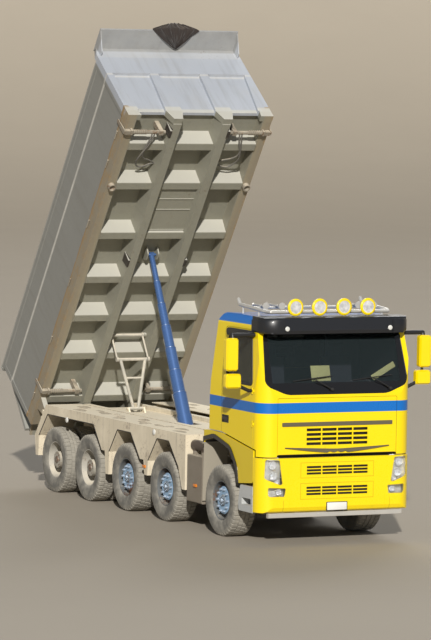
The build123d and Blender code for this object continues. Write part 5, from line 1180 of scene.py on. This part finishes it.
def make_lock_hoses():
    """Two hoses from each front lock over the cross rib to the main beam."""
    shapes = []
    for side in (-1, 1):
        for route in LOCK_HOSES:
            path = bed_points([(u, side * y, w) for u, y, w in route])
            shapes.append(tube(spline_route(path), HOSE_RADIUS, 10))
    put("lock_hoses", join(shapes), "bed", "black_plastic", "hose")


# Earth on the deck
HEAPS = 16
# Ranges of a heap's distance from the middle, length, width and height, and its ends on the deck
HEAP_PLACE = (0.82, 1.12)
HEAP_LENGTH = (0.07, 0.22)
HEAP_WIDTH = (0.04, 0.10)
HEAP_HEIGHT = (0.008, 0.022)
DECK_START = 0.5
DECK_SPARE = 0.9


def heap(centre, size, height, seed):
    """A low heap of loose earth: a dome with three waves of uneven lumps, flat at its rim."""
    rng = np.random.default_rng(seed)
    angle = np.linspace(0, 2 * math.pi, 40, endpoint=False)
    share = np.linspace(0, 1, 14)
    a, r = np.meshgrid(angle, share)
    lumps = 0
    for k in (3, 5, 8):
        lumps = lumps + np.sin(a * k + rng.uniform(0, 6)) * np.sin(r * (3 + k) * 2 + rng.uniform(0, 6))
    rim = 1 + 0.18 * np.sin(3 * a + seed) + 0.10 * np.sin(7 * a + 2 * seed)
    z = height * (1 - r ** 2) * (1 + 0.45 * (lumps / 3))
    x = r * rim * size[0] * np.cos(a)
    y = r * rim * size[1] * np.sin(a)
    points = np.stack([x, y, z], -1) + np.array(centre)
    under = points.copy()
    under[..., 2] = centre[2] - 0.002
    both = np.concatenate([points.reshape(-1, 3), under[::-1].reshape(-1, 3)])
    return both, grid_faces(len(share) * 2, len(angle), close_columns=True)


def make_earth():
    """Earth on the mudguard decks, clear of what the lowered bed brings down on them."""
    rng = np.random.default_rng(7)
    shapes = []
    low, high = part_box("mudguards")
    points = node_points("bed_fittings")
    offset = points - np.array(BED_PIVOT)
    cosine, sine = math.cos(BED_TILT), math.sin(BED_TILT)
    lowered_x = BED_PIVOT.x + offset[:, 0] * cosine + offset[:, 2] * sine
    lowered_z = BED_PIVOT.z + offset[:, 2] * cosine - offset[:, 0] * sine
    busy = np.stack([lowered_x, points[:, 1]], -1)[lowered_z < high.z + 0.06]
    for side in (-1, 1):
        for index in range(HEAPS):
            along = (index + rng.uniform(0, 0.8)) / HEAPS
            x = low.x + DECK_START + (high.x - low.x - DECK_SPARE) * along
            y = side * rng.uniform(*HEAP_PLACE)
            size = (rng.uniform(*HEAP_LENGTH), rng.uniform(*HEAP_WIDTH))
            tall = rng.uniform(*HEAP_HEIGHT)
            away = np.maximum(np.abs(busy - (x, y)) - np.array(size) * 1.3, 0).max(1)
            if away.min(initial=1.0) > 0.02:
                shapes.append(heap((x, y, high.z - 0.001), size, tall, index + 20 * (side + 1)))
    put("deck_earth", join(shapes), "chassis", "dusty_paint", "earth")


# Mudguard arches as the X of their low and high corners, and the heights of those
ARCHES = ((-2.540, -2.215, -1.790, -1.430), (-4.012, -3.700, -3.200, -2.850),
          (-6.830, -6.480, -4.630, -4.310))
ARCH_HEIGHTS = (0.875, 1.243, 1.243, 0.875)
MUDGUARD_Y = 1.250


def make_arch_edges():
    """A thin dark strip round each arch of the mudguards, on their outer faces."""
    shapes = []
    for side in (-1, 1):
        for arch in ARCHES:
            path = [at(x, side * MUDGUARD_Y, z) for x, z in zip(arch, ARCH_HEIGHTS)]
            for start, end in zip(path, path[1:]):
                shapes.append(tube([start, start.lerp(end, 0.5), end], 0.007, 6))
    put("arch_edges", join(shapes), "chassis", "black_plastic")


# Marker lamps as X, distance from the middle and Z
SIDE_MARKERS = ((-0.86, 1.238, 0.66), (-2.67, 1.256, 0.77))
ROUND_MARKERS = ((-5.68, 1.249, 1.22), (-2.32, 1.249, 1.33))
ROUND_MARKER = ((0, 0.045), (0.012, 0.045), (0.020, 0.036), (0.024, 0.0))
TAIL_LAMP = (-7.196, 0.90, 0.63)


def make_markers():
    """Marker lamps on the boxes and mudguards, and the tail lamps."""
    flat, rounds, tail = [], [], []
    for side in (-1, 1):
        for x, y, z in SIDE_MARKERS:
            flat.append(slab(at(x, side * y, z), (0.11, 0.045, 0.020), 0.012, X, Z, 0.003))
        for x, y, z in ROUND_MARKERS:
            rounds.append(lathe(ROUND_MARKER, at(x, side * y, z), (0, side, 0), 20))
        x, y, z = TAIL_LAMP
        tail.append(slab(at(x, side * y, z), (0.36, 0.11, 0.030), 0.012, Y, Z))
    put("side_markers", join(flat), "chassis", "lamp_glass", "amber")
    put("round_markers", join(rounds), "chassis", "lamp_glass", "white_lens")
    put("tail_lamps", join(tail), "chassis", "lamp_glass", "red")


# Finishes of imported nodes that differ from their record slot
NODE_FINISHES = {
    "windscreen": "screen",
    "front_panels": "panel_yellow",
    "cab_fenders": "fender_yellow",
    "black_trim": "trim_black",
    "stabiliser_low": "link_grey",
    "stabiliser_top": "link_grey",
    "bed_fittings": "fitting_rust",
    "mirror_left": "mirror_paint",
    "mirror_right": "mirror_paint",
}


def node_finish(name, slot):
    """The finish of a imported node, from its name and its record slot."""
    kind, _, rest = name.partition("_")
    if kind in ("rim", "tyre"):
        return FINISHES[f"{kind}_{rest.split('_')[0]}"]
    return FINISHES[NODE_FINISHES.get(name, slot)]


# Stage
FLOOR_DEPTHS = (260.0, 60.0, 0.0, -60.0, -120.0, -150.0, -170.0, -182.0, -186.0)
FLOOR_HEIGHTS = (0.0, 0.0, 0.0, 0.0, 0.0, 3.0, 12.0, 28.0, 90.0)
FLOOR_HALF = 260.0
KEY_LIGHT = (0.825, -0.385, 0.415)
FILL_LIGHT = (-0.72, 0.42, 0.55)
FILL_SHARE = 0.3


def make_floor(scene, tone):
    """A wide floor that rises into a backdrop far behind the truck, as the camera sees it."""
    finish = Finish("studio floor")
    shade = [value * 0.94 for value in tone]
    finish.set(base_color=finish.variation(tone, shade, 0.3), roughness=0.9)
    away = np.array([-CAMERA_BACK[0], -CAMERA_BACK[1]])
    away /= np.linalg.norm(away)
    side = np.array([-away[1], away[0]])
    points = []
    for depth, height in zip(FLOOR_DEPTHS, FLOOR_HEIGHTS):
        for across in (-FLOOR_HALF, FLOOR_HALF):
            points.append((*(across * side - depth * away), height))
    mesh = bpy.data.meshes.new("floor")
    mesh.from_pydata(points, [], grid_faces(len(FLOOR_DEPTHS), 2).tolist())
    mesh.shade_smooth()
    mesh.materials.append(finish.material)
    floor = bpy.data.objects.new("floor", mesh)
    scene.collection.objects.link(floor)


def make_sun(scene, name, strength, degrees, place, tone=(1.0, 1.0, 1.0)):
    """A sun lamp that shines from the direction of a place."""
    light = bpy.data.lights.new(name, "SUN")
    light.energy = strength
    light.angle = math.radians(degrees)
    light.color = tone
    sun = bpy.data.objects.new(name, light)
    sun.rotation_euler = Vector(place).to_track_quat("Z", "Y").to_euler()
    scene.collection.objects.link(sun)


def make_camera(scene):
    """The photograph's own camera."""
    data = bpy.data.cameras.new("photo")
    data.lens = CAMERA_LENS
    data.sensor_width = 36.0
    data.clip_end = 400.0
    camera = bpy.data.objects.new("photo", data)
    axes = [(*axis, 0.0) for axis in (CAMERA_RIGHT, CAMERA_UP, CAMERA_BACK)]
    camera.matrix_world = Matrix([*axes, (*CAMERA_PLACE, 1.0)]).transposed()
    scene.collection.objects.link(camera)
    scene.camera = camera


# Operators
class TruckSizes(bpy.types.PropertyGroup):
    """Sizes that a user would change."""
    tread_pitches: bpy.props.IntProperty(
        name="Tread pitches", description="Blocks round each tyre", default=44, min=12, max=90)
    tyre_radius: bpy.props.FloatProperty(
        name="Tyre radius", description="Radius over the tread", default=FRONT_AXLE.z, unit="LENGTH")
    wheel_nuts: bpy.props.IntProperty(
        name="Wheel nuts", description="Nuts round each wheel", default=10, min=4, max=16)
    nut_circle: bpy.props.FloatProperty(
        name="Nut circle", description="Radius of the ring of nuts", default=0.1675, unit="LENGTH")
    nut_radius: bpy.props.FloatProperty(
        name="Nut size", description="Half of a nut's width", default=0.019, unit="LENGTH")


class StageSettings(bpy.types.PropertyGroup):
    """Light and floor round the truck."""
    floor_tone: bpy.props.FloatVectorProperty(
        name="Floor", description="Colour of the floor", subtype="COLOR",
        default=(0.36, 0.32, 0.26), min=0, max=1)
    sun_strength: bpy.props.FloatProperty(
        name="Key light", description="Strength of the key light", default=4.3, min=0)
    sky_strength: bpy.props.FloatProperty(
        name="Fill light", description="Strength of the light all round", default=0.24, min=0)


class TRUCK_OT_stage(bpy.types.Operator):
    """Adds the floor, the lights and the camera"""
    bl_idname = "truck.stage"
    bl_label = "Stage"

    def execute(self, context):
        scene = context.scene
        settings = scene.truck_stage
        make_floor(scene, tuple(settings.floor_tone))
        world = bpy.data.worlds.new("studio")
        world.use_nodes = True
        sky = world.node_tree.nodes["Background"].inputs
        sky[0].default_value = (0.80, 0.86, 0.95, 1.0)
        sky[1].default_value = settings.sky_strength
        scene.world = world
        scene.view_settings.view_transform = "Standard"
        make_sun(scene, "key", settings.sun_strength, 1.5, KEY_LIGHT, (1.0, 0.96, 0.90))
        make_sun(scene, "fill", settings.sun_strength * FILL_SHARE, 30, FILL_LIGHT)
        make_camera(scene)
        return {"FINISHED"}


class TRUCK_OT_finishes(bpy.types.Operator):
    """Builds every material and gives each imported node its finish"""
    bl_idname = "truck.finishes"
    bl_label = "Finishes"

    def execute(self, context):
        FINISHES.update(make_finishes())
        for row in frame["record"]["subparts"]:
            materials = NODES[row["node"]].data.materials
            materials.clear()
            materials.append(node_finish(row["node"], row["material_slot"]))
        return {"FINISHED"}


class TRUCK_OT_tyres(bpy.types.Operator):
    """Adds the treaded tyres"""
    bl_idname = "truck.tyres"
    bl_label = "Tyres"

    def execute(self, context):
        sizes = context.scene.truck_sizes
        make_tyres(sizes.tread_pitches, sizes.tyre_radius)
        return {"FINISHED"}


class TRUCK_OT_wheel_nuts(bpy.types.Operator):
    """Adds the nuts and hub bolts of every wheel"""
    bl_idname = "truck.wheel_nuts"
    bl_label = "Wheel nuts"

    def execute(self, context):
        sizes = context.scene.truck_sizes
        make_wheel_nuts(sizes.wheel_nuts, sizes.nut_circle, sizes.nut_radius)
        return {"FINISHED"}


class TRUCK_OT_lamps(bpy.types.Operator):
    """Adds lamp bowls, rings, markers and the edges of the mudguard arches"""
    bl_idname = "truck.lamps"
    bl_label = "Lamps"

    def execute(self, context):
        make_lamps()
        make_markers()
        make_arch_edges()
        return {"FINISHED"}


class TRUCK_OT_cab_trim(bpy.types.Operator):
    """Adds wipers, window rubbers, mirror glass and the blank plate and cards"""
    bl_idname = "truck.cab_trim"
    bl_label = "Cab trim"

    def execute(self, context):
        make_cab_trim()
        return {"FINISHED"}


class TRUCK_OT_hoist_rings(bpy.types.Operator):
    """Adds the bright gland rings of the hoist and the hoses of the front locks"""
    bl_idname = "truck.hoist_rings"
    bl_label = "Hoist rings and hoses"

    def execute(self, context):
        make_hoist_rings()
        make_lock_hoses()
        return {"FINISHED"}


class TRUCK_OT_tarp(bpy.types.Operator):
    """Adds the bunched tarpaulin on the canopy"""
    bl_idname = "truck.tarp"
    bl_label = "Tarpaulin"

    def execute(self, context):
        make_tarp()
        return {"FINISHED"}


class TRUCK_OT_earth(bpy.types.Operator):
    """Adds the loose earth on the decks"""
    bl_idname = "truck.earth"
    bl_label = "Earth"

    def execute(self, context):
        make_earth()
        return {"FINISHED"}


PIECES = (TRUCK_OT_finishes, TRUCK_OT_tyres, TRUCK_OT_wheel_nuts, TRUCK_OT_lamps, TRUCK_OT_cab_trim,
          TRUCK_OT_hoist_rings, TRUCK_OT_tarp, TRUCK_OT_earth)


class TRUCK_PT_panel(bpy.types.Panel):
    """Sizes and pieces of the truck"""
    bl_idname = "TRUCK_PT_panel"
    bl_label = "Dump truck"
    bl_space_type = "VIEW_3D"
    bl_region_type = "UI"
    bl_category = "Truck"

    def draw(self, context):
        for group in (context.scene.truck_sizes, context.scene.truck_stage):
            for name in group.__annotations__:
                self.layout.prop(group, name)
        for operator in (TRUCK_OT_stage, *PIECES):
            self.layout.operator(operator.bl_idname)


CLASSES = (TruckSizes, StageSettings, TRUCK_OT_stage, *PIECES, TRUCK_PT_panel)


def register():
    for item in CLASSES:
        bpy.utils.register_class(item)
    bpy.types.Scene.truck_sizes = bpy.props.PointerProperty(type=TruckSizes)
    bpy.types.Scene.truck_stage = bpy.props.PointerProperty(type=StageSettings)


def unregister():
    del bpy.types.Scene.truck_stage
    del bpy.types.Scene.truck_sizes
    for item in reversed(CLASSES):
        bpy.utils.unregister_class(item)


def main():
    register()
    bpy.ops.truck.stage()
    for operator in PIECES:
        getattr(bpy.ops.truck, operator.bl_idname.split(".")[1])()


if __name__ == "__main__":
    main()
